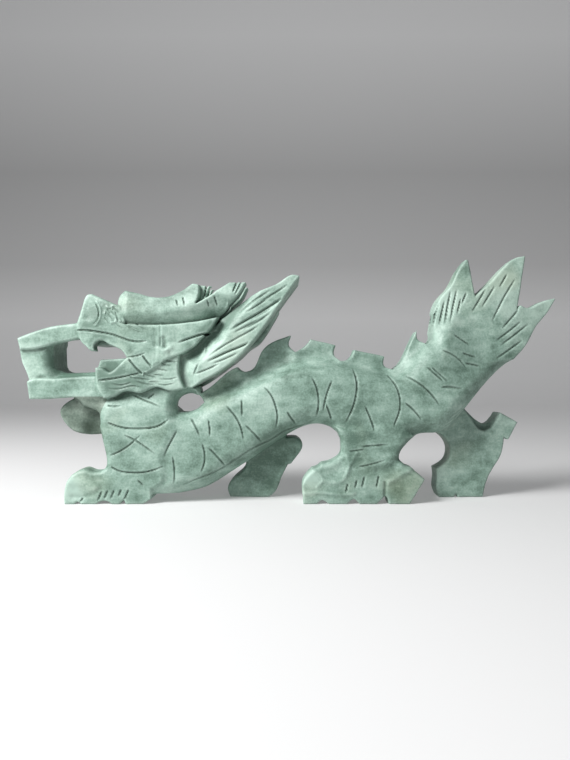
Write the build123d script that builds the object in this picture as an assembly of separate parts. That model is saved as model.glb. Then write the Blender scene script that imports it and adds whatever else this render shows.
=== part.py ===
from build123d import *
import os

# A striding dragon carved from one slab of green stone, facing -X and standing on four flat soles.
# It is drawn as outlines on an upright sheet (x along the dragon, z up) and carried through the
# slab in y. -Y is the near side. The regions of the carving meet face to face on its own creases.

# ---- driving sizes (mm) ----
LENGTH = 320.0           # end of the whiskers to the tip of the rear tail plume
HEIGHT = 147.0           # soles to the tip of the middle tail plume

HEAD_DEPTH = 36.0        # the full slab: head, jaw and mane
TEMPLE_DEPTH = 25.0      # the head behind the ear, under the cheek tufts
CREST_DEPTH = 32.0       # nose crest
HORN_DEPTH = 13.0        # each of the two horns
STRAP_DEPTH = 30.0       # the two whiskers
WEB_DEPTH = 26.0         # the web that joins the whiskers
BEARD_DEPTH = 18.0       # the leaf under the chin
LIP_DEPTH = 9.0          # how deep the scallop is cut into each side of the lower lip
CHEST_DEPTH = 34.0
CHEST_BEVEL = 4.0        # bevel down the breast
TORSO_DEPTH = 33.0       # trunk and rump
TORSO_BEVEL = 5.0        # bevel along the back and the belly
LEG_DEPTH = 15.0         # each leg is a little less than half of the slab
LEG_GAP = 6.0            # the clear space between the near legs and the far legs
FIN_DEPTH = 11.0         # dorsal fins, along the middle of the back
PLUME_DEPTH = 18.0       # the three tail plumes
RIM = 1.6                # worn bevel around the carved edges
FINE_RIM = 0.8           # the same on the slender pieces

# ---- the sheet that the outlines are drawn on ----
SHEET_LENGTH = 320.0
SHEET_HEIGHT = 147.0

LEG_INNER = LEG_GAP / 2
LEG_OUTER = LEG_INNER + LEG_DEPTH
HEAD_HALF = HEAD_DEPTH / 2
SAME_PLACE = 0.01        # two points this close are one


def at(x, z):
    """A point of the sheet, stretched to the real length and height."""
    return (x * LENGTH / SHEET_LENGTH, 0.0, z * HEIGHT / SHEET_HEIGHT)


def edge_along(run):
    """The edge through a run of points: two are a straight line, more are one smooth curve."""
    points = [at(x, z) for x, z in run]
    return Line(*points) if len(points) == 2 else Spline(*points)


def sheet(*runs):
    """A face bounded by runs that follow each other round its outline."""
    return Face(Wire([edge_along(run) for run in runs]))


def layer(face, near, far):
    """The face carried through the stone from y = near to y = far."""
    return extrude(face.moved(Location((0, near, 0))), amount=far - near, dir=(0, 1, 0))


def through(face, depth):
    """The face carried through the middle of the slab, depth thick."""
    return layer(face, -depth / 2, depth / 2)


def skin_edges(solid):
    """The edges around the near face and the far face."""
    faces = solid.faces().filter_by(Axis.Y).sort_by(Axis.Y)
    return faces[0].edges() + faces[-1].edges()


def rimmed(solid, rim):
    """The solid with a worn bevel around its near and far faces."""
    return chamfer(skin_edges(solid), length=rim)


def bevelled(solid, size, *runs):
    """The solid with a bevel on those edges of its near and far faces that follow the given runs."""
    middles = [edge_along(run).position_at(0.5) for run in runs]
    chosen = []
    for edge in skin_edges(solid):
        middle = edge.position_at(0.5)
        if any(abs(middle.X - m.X) + abs(middle.Z - m.Z) < SAME_PLACE for m in middles):
            chosen.append(edge)
    return chamfer(chosen, length=size)


def seated(piece, *neighbours):
    """The piece with its neighbours cut out of it, so that it meets them face to face."""
    for neighbour in neighbours:
        piece = piece - neighbour
    return max(piece.solids(), key=lambda solid: solid.volume)


def mirrored(solid):
    """The same region on the other side of the slab."""
    return mirror(solid, about=Plane.XZ)


# ---- creases that two regions share ----
CREST_SEAM = [(-126, 104.8), (-118, 103.4), (-108, 103.2), (-99.8, 105)]
HORN_SEAM = [(-99.8, 105), (-93, 104.6), (-84, 104), (-72, 104.2), (-58, 105.6), (-42, 108.6)]
VALLEY = [(-42, 108.6), (-46, 102), (-51, 96.5), (-56, 91.4), (-62, 87.6)]
TUFT_HEM = [(-62, 87.6), (-70, 84.8), (-75.5, 82.4)]
CHEEK_HEM = [(-75.5, 82.4), (-80, 79.4), (-86, 75.8)]
CHEEK_LINE = [(-86, 75.8), (-95, 84.8)]
EAR_LINE = [(-75.5, 82.4), (-75.5, 104.05)]
SHOULDER_ARC = [(-110.6, 44.5), (-100, 43.2), (-88, 42.8), (-79, 44.2), (-72, 48.5)]
FLANK_ARC = [(38, 80.3), (39.6, 70), (37.6, 58), (33.6, 47.5), (30, 40)]
PLUME_ROOT = [(84.8, 100.4), (104, 104), (126, 96), (133, 84)]
PLUME_NOTCHES = [(110.2, 122.1), (135.6, 114.3)]


# ---- head ----
def make_skull():
    """Muzzle with its fang and cheek at the full depth, and the temple under the tufts."""
    fang = [(-125, 95.8), (-122.8, 94.2), (-121.2, 91.6), (-119, 89.2), (-115.2, 89.2)]
    upper_lip = [(-115.2, 89.2), (-115, 92), (-113.6, 94), (-110.4, 95), (-107, 93.6), (-102.9, 91.6),
                 (-98, 89.2), (-95, 84.8)]
    whisker_root = [(-126, 104.8), (-125, 95.8)]
    ear_top = [(-75.5, 104.05), (-84, 104), (-93, 104.6), (-99.8, 105)]
    face = sheet(whisker_root, fang, upper_lip, CHEEK_LINE, CHEEK_HEM, EAR_LINE, ear_top, CREST_SEAM)
    temple = sheet(EAR_LINE, ear_top[:1] + HORN_SEAM[-2:], VALLEY, TUFT_HEM)
    crown = sheet([(-98, 104), (-98, 113)], [(-98, 113), (-74, 112), (-46, 114)],
                  [(-46, 114), (-46, 104)], [(-46, 104), (-98, 104)])
    crown_depth = HEAD_DEPTH - 2 * HORN_DEPTH
    return through(face, HEAD_DEPTH) + through(temple, TEMPLE_DEPTH) + through(crown, crown_depth)


def make_lower_jaw(*neighbours):
    """The jaw to its wavy hem, with a scallop cut into the lip on each side."""
    chin = [(-108.5, 61.6), (-111.6, 66.6), (-113.2, 72), (-113.6, 79)]
    lip = [(-113.6, 79), (-112, 84)]
    mouth_floor = [(-112, 84), (-95, 84.8)]
    hinge = [(-95, 84.8), (-90, 90)]
    inside = [(-90, 90), (-64, 90)]
    nape = [(-64, 90), (-65.4, 80), (-64.8, 74), (-62, 67.2)]
    hem = [(-62, 67.2), (-71, 65.9), (-79, 67.8), (-87, 64.6), (-96, 65.4), (-102, 62.4), (-108.5, 61.6)]
    outline = sheet(chin, lip, mouth_floor, hinge, inside, nape, hem)
    jaw = bevelled(through(outline, HEAD_DEPTH), RIM, chin, hem)
    dip = [(-113.6, 79.2), (-110, 79.2), (-105.5, 76.6), (-101, 79.6), (-96, 84.2)]
    scallop = sheet(dip, [(-96, 84.2), (-96, 90)], [(-96, 90), (-120, 90)], [(-120, 90), (-120, 79.2)],
                    [(-120, 79.2), (-113.6, 79.2)])
    near_scallop = layer(scallop, -HEAD_HALF, LIP_DEPTH - HEAD_HALF)
    return seated(jaw, near_scallop, mirrored(near_scallop), *neighbours)


def make_nose_crest(skull):
    """The upright bulb over the nostrils."""
    front = [(-126, 104.8), (-124.4, 114.6), (-121.6, 121.2), (-117.6, 122.6), (-113, 120.6)]
    brow = [(-113, 120.6), (-99.8, 115)]
    back = [(-99.8, 115), (-99.8, 105)]
    return seated(rimmed(through(sheet(front, brow, back, CREST_SEAM), CREST_DEPTH), RIM), skull)


def make_horn(*neighbours):
    """One horn: a blunt front end, then two flame tips with a notch between them."""
    front = [(-99.8, 102), (-100, 114), (-99.2, 121.6), (-97, 124)]
    saddle = [(-97, 124), (-88, 121.7), (-78, 119.6), (-68, 121.4), (-57, 128)]
    first_tip = [(-57, 128), (-46.5, 127)]
    notch_front = [(-46.5, 127), (-50, 121.5), (-54.8, 116.8)]
    notch_back = [(-54.8, 116.8), (-45, 122.2), (-36, 128.4)]
    second_tip = [(-36, 128.4), (-25.8, 128.8)]
    back = [(-25.8, 128.8), (-30, 122), (-36, 115.6), (-42, 108.6)]
    inside = [(-42, 108.6), (-50, 101), (-99.8, 102)]
    outline = sheet(front, saddle, first_tip, notch_front, notch_back, second_tip, back, inside)
    horn = layer(outline, -HEAD_HALF, HORN_DEPTH - HEAD_HALF)
    return seated(bevelled(horn, RIM, saddle, back), *neighbours)


def make_cheek_tuft(skull):
    """The leaf of hair behind the ear, standing on the temple."""
    top = [(-75.5, 104.05), HORN_SEAM[-2], HORN_SEAM[-1]]
    outline = sheet(EAR_LINE, top, VALLEY, TUFT_HEM)
    return seated(layer(outline, -HEAD_HALF, -TEMPLE_DEPTH / 2), skull)


def make_mane(*neighbours):
    """The long pointed mane that sweeps up and back over the neck."""
    top = [(4.9, 132.2), (1, 132.8), (-5.7, 129.4), (-17.6, 123.9), (-26, 119.2)]
    inside = [(-26, 119.2), (-34, 113), (-44, 104), (-54, 95), (-66, 88)]
    root = [(-66, 88), (-66, 67.6)]
    hem = [(-66, 67.6), (-58, 67.4)]
    lower_leaf = [(-58, 67.4), (-50, 72.2), (-41, 77.3), (-35, 81.5), (-28.5, 87.2), (-20.8, 95.8)]
    upper_leaf = [(-20.8, 95.8), (-16.7, 102), (-5.4, 118.7), (4.9, 132.2)]
    outline = sheet(top, inside, root, hem, lower_leaf, upper_leaf)
    mane = bevelled(through(outline, HEAD_DEPTH), RIM, top, lower_leaf, upper_leaf)
    return seated(mane, *neighbours)


# ---- whisker loop ----
def make_upper_whisker(skull, nose_crest):
    """The strap that runs forward from the muzzle."""
    top = [(-124, 105), (-133, 104.3), (-150, 100.5), (-160, 96.5)]
    end = [(-160, 96.5), (-158.5, 89.6)]
    underside = [(-158.5, 89.6), (-150, 90), (-141.5, 92), (-124, 95.9)]
    root = [(-124, 95.9), (-124, 105)]
    return seated(rimmed(through(sheet(top, end, underside, root), STRAP_DEPTH), RIM), skull, nose_crest)


def make_whisker_web(upper_whisker):
    """The thin web that closes the front of the loop."""
    front = [(-158.9, 91), (-157.4, 82.6), (-154.8, 76.8), (-152.5, 71)]
    foot = [(-152.5, 71), (-137, 71)]
    hole = [(-137, 71), (-140.8, 74.6), (-142, 80), (-142, 94)]
    top = [(-142, 94), (-158.9, 91)]
    web = bevelled(through(sheet(front, foot, hole, top), WEB_DEPTH), RIM, front, hole)
    return seated(web, upper_whisker)


def make_lower_whisker(whisker_web, lower_jaw):
    """The strap that runs back from the web to the chin."""
    end = [(-154.5, 71.2), (-152.9, 60.7)]
    underside = [(-152.9, 60.7), (-138, 61.2), (-124.5, 62.4)]
    root = [(-124.5, 62.4), (-109, 62.4)]
    chin = [(-109, 62.4), (-112, 74.2)]
    top = [(-112, 74.2), (-128, 73.8), (-142, 72.8), (-152, 72.4), (-154.5, 71.2)]
    strap = bevelled(through(sheet(end, underside, root, chin, top), STRAP_DEPTH), RIM, end, underside, top)
    return seated(strap, whisker_web, lower_jaw)


def make_beard(*neighbours):
    """The leaf of beard between the chin and the chest."""
    front = [(-126, 61.9), (-133, 58.8), (-137, 53.5), (-133.5, 45.4), (-126, 41), (-119, 39.3)]
    hem = [(-119, 39.3), (-108, 39.6)]
    back = [(-108, 39.6), (-106, 63)]
    top = [(-106, 63), (-126, 63)]
    tip = [(-126, 63), (-126, 61.9)]
    beard = bevelled(through(sheet(front, hem, back, top, tip), BEARD_DEPTH), RIM, front, hem)
    return seated(beard, *neighbours)


# ---- body ----
def make_chest(*neighbours):
    """Neck and breast, from the jaw down to the belly, in front of the neck hole."""
    front = [(-106, 66), (-107.6, 60), (-111.3, 51), (-109.8, 38), (-106.9, 25.4), (-103.5, 9.5)]
    belly = [(-103.5, 9.5), (-90, 6.6), (-66, 4.8)]
    seam = [(-66, 4.8), (-66, 53)]
    neck_hole = [(-66, 53), (-67.6, 56.6), (-66.4, 60.8), (-62.6, 63.4), (-57, 64)]
    throat = [(-57, 64), (-54.8, 63.4), (-54.6, 68)]
    nape = [(-54.6, 68), (-62, 72)]
    inside = [(-62, 72), (-106, 66)]
    chest = through(sheet(front, belly, seam, neck_hole, throat, nape, inside), CHEST_DEPTH)
    return seated(bevelled(chest, CHEST_BEVEL, front, belly), *neighbours)


def make_trunk(chest, front_leg_near):
    """The arched trunk, from the neck hole to the flank."""
    back = [(-66, 53), (-60, 53.2), (-50, 59), (-30, 68.5), (-10, 77.5), (12, 83.3), (38, 80.3)]
    belly = [(30, 40), (22, 44.8), (14, 45.9), (2, 41.6), (-18, 28.7), (-40, 14), (-52, 7.8), (-66, 4.8)]
    seam = [(-66, 4.8), (-66, 53)]
    trunk = bevelled(through(sheet(back, FLANK_ARC, belly, seam), TORSO_DEPTH), TORSO_BEVEL, back, belly)
    return seated(trunk, chest, front_leg_near)


def make_rump(trunk):
    """Haunch and tail root, from the flank to the foot of the plumes."""
    back = [(38, 80.3), (50, 77.6), (61.4, 76), (68, 80), (75, 88), (80.4, 93.4)]
    notch = [(80.4, 93.4), (83, 94.8), (84.8, 100.4)]
    underside = [(133, 84), (124.5, 76.5), (116.7, 68.8), (105.9, 56), (98, 47.2), (92, 42.4), (86, 40.3),
                 (80.4, 40.3), (73, 38.2), (66.4, 32)]
    thigh = [(66.4, 32), (48, 36), (30, 40)]
    roots = [[PLUME_ROOT[i], PLUME_ROOT[i + 1]] for i in range(len(PLUME_ROOT) - 1)]
    outline = sheet(back, notch, *roots, underside, thigh, FLANK_ARC)
    rump = bevelled(through(outline, TORSO_DEPTH), TORSO_BEVEL, back, notch, underside)
    return seated(rump, trunk)


# ---- legs ----
def make_front_leg_near():
    """The near front leg: shoulder, shin and a long forward paw with a notched sole."""
    shin = [(-110.6, 44.5), (-109.2, 37), (-106.9, 25.4), (-107.7, 21.6), (-110.5, 19.3)]
    instep = [(-110.5, 19.3), (-115, 19.2), (-120.5, 20.5), (-127.2, 17)]
    toe = [(-127.2, 17), (-129.8, 12.8), (-131.4, 5), (-131, 0)]
    sole = [(-131, 0), (-125.5, 0)]
    toe_notch = [(-125.5, 0), (-123.7, 1.4), (-121.5, 0)]
    ball = [(-121.5, 0), (-113, 0)]
    arch = [(-113, 0), (-110, 1.7), (-106.6, 1.7), (-103.8, 0)]
    pad = [(-103.8, 0), (-99.5, 0)]
    heel_notch = [(-99.5, 0), (-96.6, 2.2), (-95.7, 0)]
    heel = [(-95.7, 0), (-85.6, 0)]
    back = [(-85.6, 0), (-80.9, 3)]
    ankle = [(-80.9, 3), (-81, 9.3)]
    thigh = [(-81, 9.3), (-75, 13), (-74.2, 27), (-70, 36), (-66.8, 42), (-72, 48.5)]
    outline = sheet(shin, instep, toe, sole, toe_notch, ball, arch, pad, heel_notch, heel, back, ankle,
                    thigh, SHOULDER_ARC)
    return rimmed(layer(outline, -LEG_OUTER, -LEG_INNER), RIM)


def make_front_leg_far(*neighbours):
    """The far front leg, set back under the belly, with a tuft at its elbow."""
    elbow = [(-2.4, 36.9), (4.5, 36.4), (7.3, 33), (3.4, 24.2), (0.4, 20.3)]
    shin = [(0.4, 20.3), (-1.4, 20)]
    calf = [(-1.4, 20), (-6.2, 10.4), (-9.6, 3), (-13.6, 0)]
    sole = [(-13.6, 0), (-37, 0)]
    toe = [(-37, 0), (-38.4, 6), (-34, 12.6), (-28.4, 18), (-26, 28)]
    shoulder = [(-26, 28), (-25, 46)]
    inside = [(-25, 46), (-4, 46)]
    front = [(-4, 46), (-2.4, 36.9)]
    outline = sheet(elbow, shin, calf, sole, toe, shoulder, inside, front)
    return seated(rimmed(layer(outline, LEG_INNER, LEG_OUTER), RIM), *neighbours)


def make_hind_leg_near(*neighbours):
    """The near hind leg: a broad paw that points forward, and a heel spur behind."""
    hole = [(27, 44), (29.4, 36), (28.2, 29.5), (24, 25), (17.8, 23.8)]
    shin = [(17.8, 23.8), (10.4, 18), (6.8, 11), (7.2, 5), (7.4, 0)]
    sole = [(7.4, 0), (15.3, 0)]
    toe_notch = [(15.3, 0), (17.9, 2.2), (22, 0)]
    ball = [(22, 0), (33, 0)]
    arch = [(33, 0), (36.6, 2.8), (40, 0)]
    pad = [(40, 0), (50, 0)]
    heel_notch = [(50, 0), (55.8, 3.8), (57, 0)]
    heel = [(57, 0), (69, 0)]
    spur = [(69, 0), (78.2, 14.2)]
    spur_top = [(78.2, 14.2), (73, 18.6), (67.2, 22.2)]
    calf = [(67.2, 22.2), (63.6, 27.6), (67.4, 34.4), (72, 39)]
    inside = [(72, 39), (60, 46)]
    thigh = [(60, 46), (27, 44)]
    outline = sheet(hole, shin, sole, toe_notch, ball, arch, pad, heel_notch, heel, spur, spur_top, calf,
                    inside, thigh)
    return seated(rimmed(layer(outline, -LEG_OUTER, -LEG_INNER), RIM), *neighbours)


def make_hind_leg_far(*neighbours):
    """The far hind leg, stretched out behind, with a tuft above its heel."""
    saddle = [(104, 57), (109, 51.5), (112.2, 47.2), (115.7, 42.4), (119.4, 41), (123.7, 42.8)]
    tuft_front = [(123.7, 42.8), (128.9, 51.5)]
    tuft_top = [(128.9, 51.5), (138.9, 45.8)]
    tuft_back = [(138.9, 45.8), (134, 35.2)]
    tuft_foot = [(134, 35.2), (131.4, 36.4)]
    shin = [(131.4, 36.4), (129.4, 25.8), (123.2, 15.5), (119.7, 5.6), (118.6, 0)]
    toe = [(118.6, 0), (103, 0)]
    notch = [(103, 0), (102, 1.7), (100.6, 0)]
    sole = [(100.6, 0), (91.4, 0)]
    heel = [(91.4, 0), (89.6, 6), (90.2, 11.6), (89.6, 17.5)]
    hole = [(89.6, 17.5), (96.5, 23.5), (98.6, 30), (95.5, 37.5), (88, 42)]
    inside = [(88, 42), (90, 57)]
    top = [(90, 57), (104, 57)]
    outline = sheet(saddle, tuft_front, tuft_top, tuft_back, tuft_foot, shin, toe, notch, sole, heel, hole,
                    inside, top)
    return seated(rimmed(layer(outline, LEG_INNER, LEG_OUTER), RIM), *neighbours)


# ---- dorsal fins: leading edge, trailing edge, and how far each reaches into the back ----
FINS = [
    [[(-54, 64), (-48.3, 68.3), (-42.2, 73.2), (-36.1, 78), (-32, 79.6)],
     [(-32, 79.6), (-29.6, 77.2), (-27, 76.4)],
     [(-27, 76.4), (-25, 68)], [(-25, 68), (-48, 56)], [(-48, 56), (-54, 64)]],
    [[(-27, 76.4), (-23.4, 77.6), (-17.7, 88.3), (-8.3, 95.7), (0.1, 98.6)],
     [(0.1, 98.6), (-1.2, 92.6), (2.8, 88.1)], [(2.8, 88.1), (3, 78)], [(3, 78), (-25, 68)],
     [(-25, 68), (-27, 76.4)]],
    [[(2.8, 88.1), (7.8, 91.3), (11.9, 96.6)], [(11.9, 96.6), (27.2, 92.9)],
     [(27.2, 92.9), (26.1, 86.2), (30.1, 82.7)], [(30.1, 82.7), (30, 76)], [(30, 76), (3, 78)],
     [(3, 78), (2.8, 88.1)]],
    [[(30.1, 82.7), (34.9, 84), (38.2, 90.1)], [(38.2, 90.1), (56.4, 86.2)],
     [(56.4, 86.2), (56.2, 80.2), (61.4, 77.6)], [(61.4, 77.6), (61, 72)], [(61, 72), (30, 76)],
     [(30, 76), (30.1, 82.7)]],
    [[(61.4, 77.6), (65.8, 81.1), (70.9, 92.1), (76.1, 102.3)],
     [(76.1, 102.3), (76.8, 96), (80.4, 93.4)], [(80.4, 93.4), (82, 86)], [(82, 86), (61, 72)],
     [(61, 72), (61.4, 77.6)]],
]


def make_fin(runs, *neighbours):
    """One dorsal fin on the middle line of the back."""
    return seated(rimmed(through(sheet(*runs), FIN_DEPTH), FINE_RIM), *neighbours)


# ---- tail plumes ----
def make_plume(runs, rump):
    """One flame of the tail, thinner than the body."""
    return seated(rimmed(through(sheet(*runs), PLUME_DEPTH), FINE_RIM), rump)


def plume_outlines():
    """The front, middle and rear plumes, which share their roots and notches."""
    root_front, root_middle, root_rear, root_end = PLUME_ROOT
    front_notch, rear_notch = PLUME_NOTCHES
    front = [[root_front, (85.6, 112.8), (89, 121.3), (95.6, 129), (99.9, 137.5), (105.4, 144.3)],
             [(105.4, 144.3), (106.9, 144.3)],
             [(106.9, 144.3), (109, 130.5), front_notch],
             [front_notch, root_middle],
             [root_middle, root_front]]
    middle = [[front_notch, (119, 129.8), (129, 140.6), (136, 145.8), (141.8, 147)],
              [(141.8, 147), (139.5, 133.6), rear_notch],
              [rear_notch, root_rear],
              [root_rear, root_middle],
              [root_middle, front_notch]]
    rear = [[rear_notch, (137.9, 116.8), (140, 115.8), (150, 118.6), (160, 121.4)],
            [(160, 121.4), (155.3, 112.8), (147.6, 103.5), (142.2, 93.5), root_end],
            [root_end, root_rear],
            [root_rear, rear_notch]]
    return {"front": front, "middle": middle, "rear": rear}


# ---- the whole carving ----
def make_dragon():
    """Every named region of the carving, each a solid of its own."""
    skull = make_skull()
    tuft = make_cheek_tuft(skull)
    jaw = make_lower_jaw(skull, tuft, mirrored(tuft))
    crest = make_nose_crest(skull)
    horn = make_horn(skull, crest, tuft)
    mane = make_mane(skull, jaw, horn, mirrored(horn), tuft, mirrored(tuft))
    leg = make_front_leg_near()
    chest = make_chest(jaw, mane, leg)
    trunk = make_trunk(chest, leg)
    rump = make_rump(trunk)
    pieces = {"skull": skull, "lower_jaw": jaw, "nose_crest": crest, "mane": mane}
    pieces["horn_near"] = horn
    pieces["horn_far"] = mirrored(horn)
    pieces["cheek_tuft_near"] = tuft
    pieces["cheek_tuft_far"] = mirrored(tuft)
    pieces["upper_whisker"] = make_upper_whisker(skull, crest)
    pieces["whisker_web"] = make_whisker_web(pieces["upper_whisker"])
    pieces["lower_whisker"] = make_lower_whisker(pieces["whisker_web"], jaw)
    pieces["beard"] = make_beard(pieces["lower_whisker"], jaw, chest, leg)
    pieces["chest"] = chest
    pieces["trunk"] = trunk
    pieces["rump"] = rump
    pieces["front_leg_near"] = leg
    pieces["front_leg_far"] = make_front_leg_far(trunk, chest)
    pieces["hind_leg_near"] = make_hind_leg_near(trunk, rump)
    pieces["hind_leg_far"] = make_hind_leg_far(rump)
    for number, runs in enumerate(FINS, start=1):
        pieces[f"dorsal_fin_{number}"] = make_fin(runs, trunk, rump, mane)
    for place, runs in plume_outlines().items():
        pieces[f"tail_plume_{place}"] = make_plume(runs, rump)
    return pieces


os.makedirs("parts", exist_ok=True)
for node, solid in make_dragon().items():
    export_step(solid, f"parts/{node}.step")
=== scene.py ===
import math

import bpy
import numpy as np
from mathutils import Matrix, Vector


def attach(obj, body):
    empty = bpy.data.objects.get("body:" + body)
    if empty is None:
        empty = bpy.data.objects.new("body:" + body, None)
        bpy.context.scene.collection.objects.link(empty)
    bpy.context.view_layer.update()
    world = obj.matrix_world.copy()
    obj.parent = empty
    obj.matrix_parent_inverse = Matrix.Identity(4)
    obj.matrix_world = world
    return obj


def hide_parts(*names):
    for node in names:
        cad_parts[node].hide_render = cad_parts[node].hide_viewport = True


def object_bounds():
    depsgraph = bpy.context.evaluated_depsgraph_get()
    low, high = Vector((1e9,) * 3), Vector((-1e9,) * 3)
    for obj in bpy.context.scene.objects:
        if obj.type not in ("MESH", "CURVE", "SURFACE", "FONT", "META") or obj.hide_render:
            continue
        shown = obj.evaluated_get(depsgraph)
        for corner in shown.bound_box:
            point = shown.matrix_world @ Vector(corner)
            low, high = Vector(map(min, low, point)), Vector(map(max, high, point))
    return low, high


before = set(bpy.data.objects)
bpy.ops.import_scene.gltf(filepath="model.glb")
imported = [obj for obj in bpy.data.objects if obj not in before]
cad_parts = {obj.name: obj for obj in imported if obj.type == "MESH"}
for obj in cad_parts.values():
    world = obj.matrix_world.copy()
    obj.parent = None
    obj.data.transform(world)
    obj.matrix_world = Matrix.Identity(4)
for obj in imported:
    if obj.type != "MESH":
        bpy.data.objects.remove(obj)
cad_low, cad_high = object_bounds()

# A striding dragon carved from one slab of green stone. Every named piece is one region of a single
# blended stone: the forms below are laid together as a field of distances to the surface, in
# millimetres, and each piece is the skin of that field over its own region, reaching a little way
# under its neighbours. Holes run through it, legs and horns stand beside each other in the slab, and
# every form flows into the next, so it is skinned from a field rather than folded from flat grids.
# Sheet coordinates: x along the dragon, z up from the soles, y through the slab, -y the near side.

# ---- the sheet, stretched to the model's own box ----
SHEET = np.array([320.0, 36.0, 147.0])
MODEL_LOW = np.array(cad_low)
STRETCH = (np.array(cad_high) - MODEL_LOW) / SHEET
SHEET_LOW = np.array([-160.0, -18.0, 0.0])

CELL = 0.5        # spacing of the field
EDGE_ROOM = 3.5                          # empty field kept around the stone
SHEET_X = np.arange(-160 - EDGE_ROOM, 160 + EDGE_ROOM, CELL).astype(np.float32)
SHEET_Y = np.arange(-18 - EDGE_ROOM, 18 + EDGE_ROOM, CELL).astype(np.float32)
SHEET_Z = np.arange(-EDGE_ROOM, 147 + EDGE_ROOM, CELL).astype(np.float32)
FAR_OFF = 40.0                           # distance given to places a region doesn't reach


# ---- lines on the sheet ----
def smooth_line(points, step=1.0):
    """The curve through the points whose bend changes evenly: a cubic between each two, with the
    second derivatives from the three-term equations and none at the ends. Two points stay straight."""
    p = np.array(points, float)
    if len(p) == 2:
        return p
    gap = np.hypot(*np.diff(p, axis=0).T)
    n = len(p)
    terms = np.eye(n)
    bends = np.zeros((n, 2))
    inner = np.arange(1, n - 1)
    terms[inner, inner - 1] = gap[:-1]
    terms[inner, inner] = 2 * (gap[:-1] + gap[1:])
    terms[inner, inner + 1] = gap[1:]
    slope = np.diff(p, axis=0) / gap[:, None]
    bends[1:-1] = 6 * np.diff(slope, axis=0)
    bends = np.linalg.solve(terms, bends)
    parts = []
    for i in range(n - 1):
        t = np.linspace(0, gap[i], max(2, int(gap[i] / step) + 1), endpoint=False)[:, None]
        rest = gap[i] - t
        parts.append((bends[i] * rest ** 3 + bends[i + 1] * t ** 3) / (6 * gap[i])
                     + (p[i] / gap[i] - bends[i] * gap[i] / 6) * rest
                     + (p[i + 1] / gap[i] - bends[i + 1] * gap[i] / 6) * t)
    return np.vstack(parts + [p[-1:]])


def outline(*runs):
    """Runs that follow each other round a region, as one closed line."""
    return np.vstack([smooth_line(run)[:-1] for run in runs])


def window(points, room):
    """The part of the sheet that holds the points with some room around them."""
    low = points.min(0) - room
    high = points.max(0) + room
    x = slice(*np.searchsorted(SHEET_X, [low[0], high[0]]))
    z = slice(*np.searchsorted(SHEET_Z, [low[1], high[1]]))
    return x, z


def outline_distance(x, z, loop):
    """Distance from each sheet point to a closed line, less than nothing inside it: the nearest point
    of all its short edges, and inside where an odd number of edges lie to one side."""
    nearest = np.full((x.shape[0], z.shape[1]), 1e9, np.float32)
    inside = np.zeros(nearest.shape, bool)
    for (x0, z0), (x1, z1) in zip(loop, np.roll(loop, -1, axis=0)):
        dx, dz = x1 - x0, z1 - z0
        share = np.clip(((x - x0) * dx + (z - z0) * dz) / (dx * dx + dz * dz), 0, 1)
        nearest = np.minimum(nearest, (x - x0 - share * dx) ** 2 + (z - z0 - share * dz) ** 2)
        if dz:
            level = (z0 > z) != (z1 > z)
            inside ^= level & (x < x0 + (z - z0) * dx / dz)
    return np.where(inside, -1, 1) * np.sqrt(nearest)


def line_distance(x, z, line):
    """Distance from each sheet point to an open line, and the share of its length at the nearest point."""
    nearest = np.full((x.shape[0], z.shape[1]), 1e9, np.float32)
    along = np.zeros_like(nearest)
    lengths = np.hypot(*np.diff(line, axis=0).T)
    starts = np.concatenate([[0], np.cumsum(lengths)[:-1]])
    for (x0, z0), (x1, z1), start, length in zip(line[:-1], line[1:], starts, lengths):
        dx, dz = x1 - x0, z1 - z0
        share = np.clip(((x - x0) * dx + (z - z0) * dz) / length ** 2, 0, 1)
        gap = (x - x0 - share * dx) ** 2 + (z - z0 - share * dz) ** 2
        closer = gap < nearest
        nearest = np.where(closer, gap, nearest)
        along = np.where(closer, start + share * length, along)
    return np.sqrt(nearest), along / lengths.sum()


def rise(value, low, high):
    """0 below low, 1 above high, and eased between them."""
    t = np.clip((value - low) / (high - low), 0, 1)
    return t * t * (3 - 2 * t)


# ---- the field ----
def rounded(across, through, radius):
    """Inside both of two distances, with their shared edge rounded to a radius."""
    u, v = across + radius, through + radius
    return np.minimum(np.maximum(u, v), 0) + np.hypot(np.maximum(u, 0), np.maximum(v, 0)) - radius


def merged(one, other, blend):
    """Inside either of two distances, with a hollow fillet where they meet: the lower of the two, less
    the square of their overlap over four times the blend."""
    overlap = np.maximum(blend - np.abs(one - other), 0)
    return np.minimum(one, other) - overlap * overlap / (4 * blend)


class Region:
    """A closed outline on the sheet, with the distance to it worked out near it."""

    def __init__(self, *runs):
        self.loop = outline(*runs)
        self.near_x, self.near_z = window(self.loop, 12)
        self.distance = np.full((len(SHEET_X), len(SHEET_Z)), FAR_OFF, np.float32)
        self.distance[self.near_x, self.near_z] = outline_distance(
            SHEET_X[self.near_x, None], SHEET_Z[None, self.near_z], self.loop)


stone = np.full((len(SHEET_X), len(SHEET_Y), len(SHEET_Z)), 6.0, np.float32)
near_cut = np.zeros((len(SHEET_X), len(SHEET_Z)), np.float32)
far_cut = np.zeros_like(near_cut)


def lay(region, near, far, radius, blend):
    """A slab form joined to the stone: within the region, between the near and far faces (numbers, or
    functions of x, z and the distance in from the outline), its edge rounded to the radius."""
    x, z = SHEET_X[region.near_x, None], SHEET_Z[None, region.near_z]
    across = region.distance[region.near_x, region.near_z]
    near_face, far_face, edge = [
        (np.broadcast_to(value(x, z, -across) if callable(value) else value, across.shape)
         .astype(np.float32)[:, None, :]) for value in (near, far, radius)]
    y = SHEET_Y[None, :, None]
    form = rounded(across[:, None, :], np.maximum(near_face - y, y - far_face), edge)
    part = (region.near_x, slice(None), region.near_z)
    stone[part] = merged(stone[part], form, blend)


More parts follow.
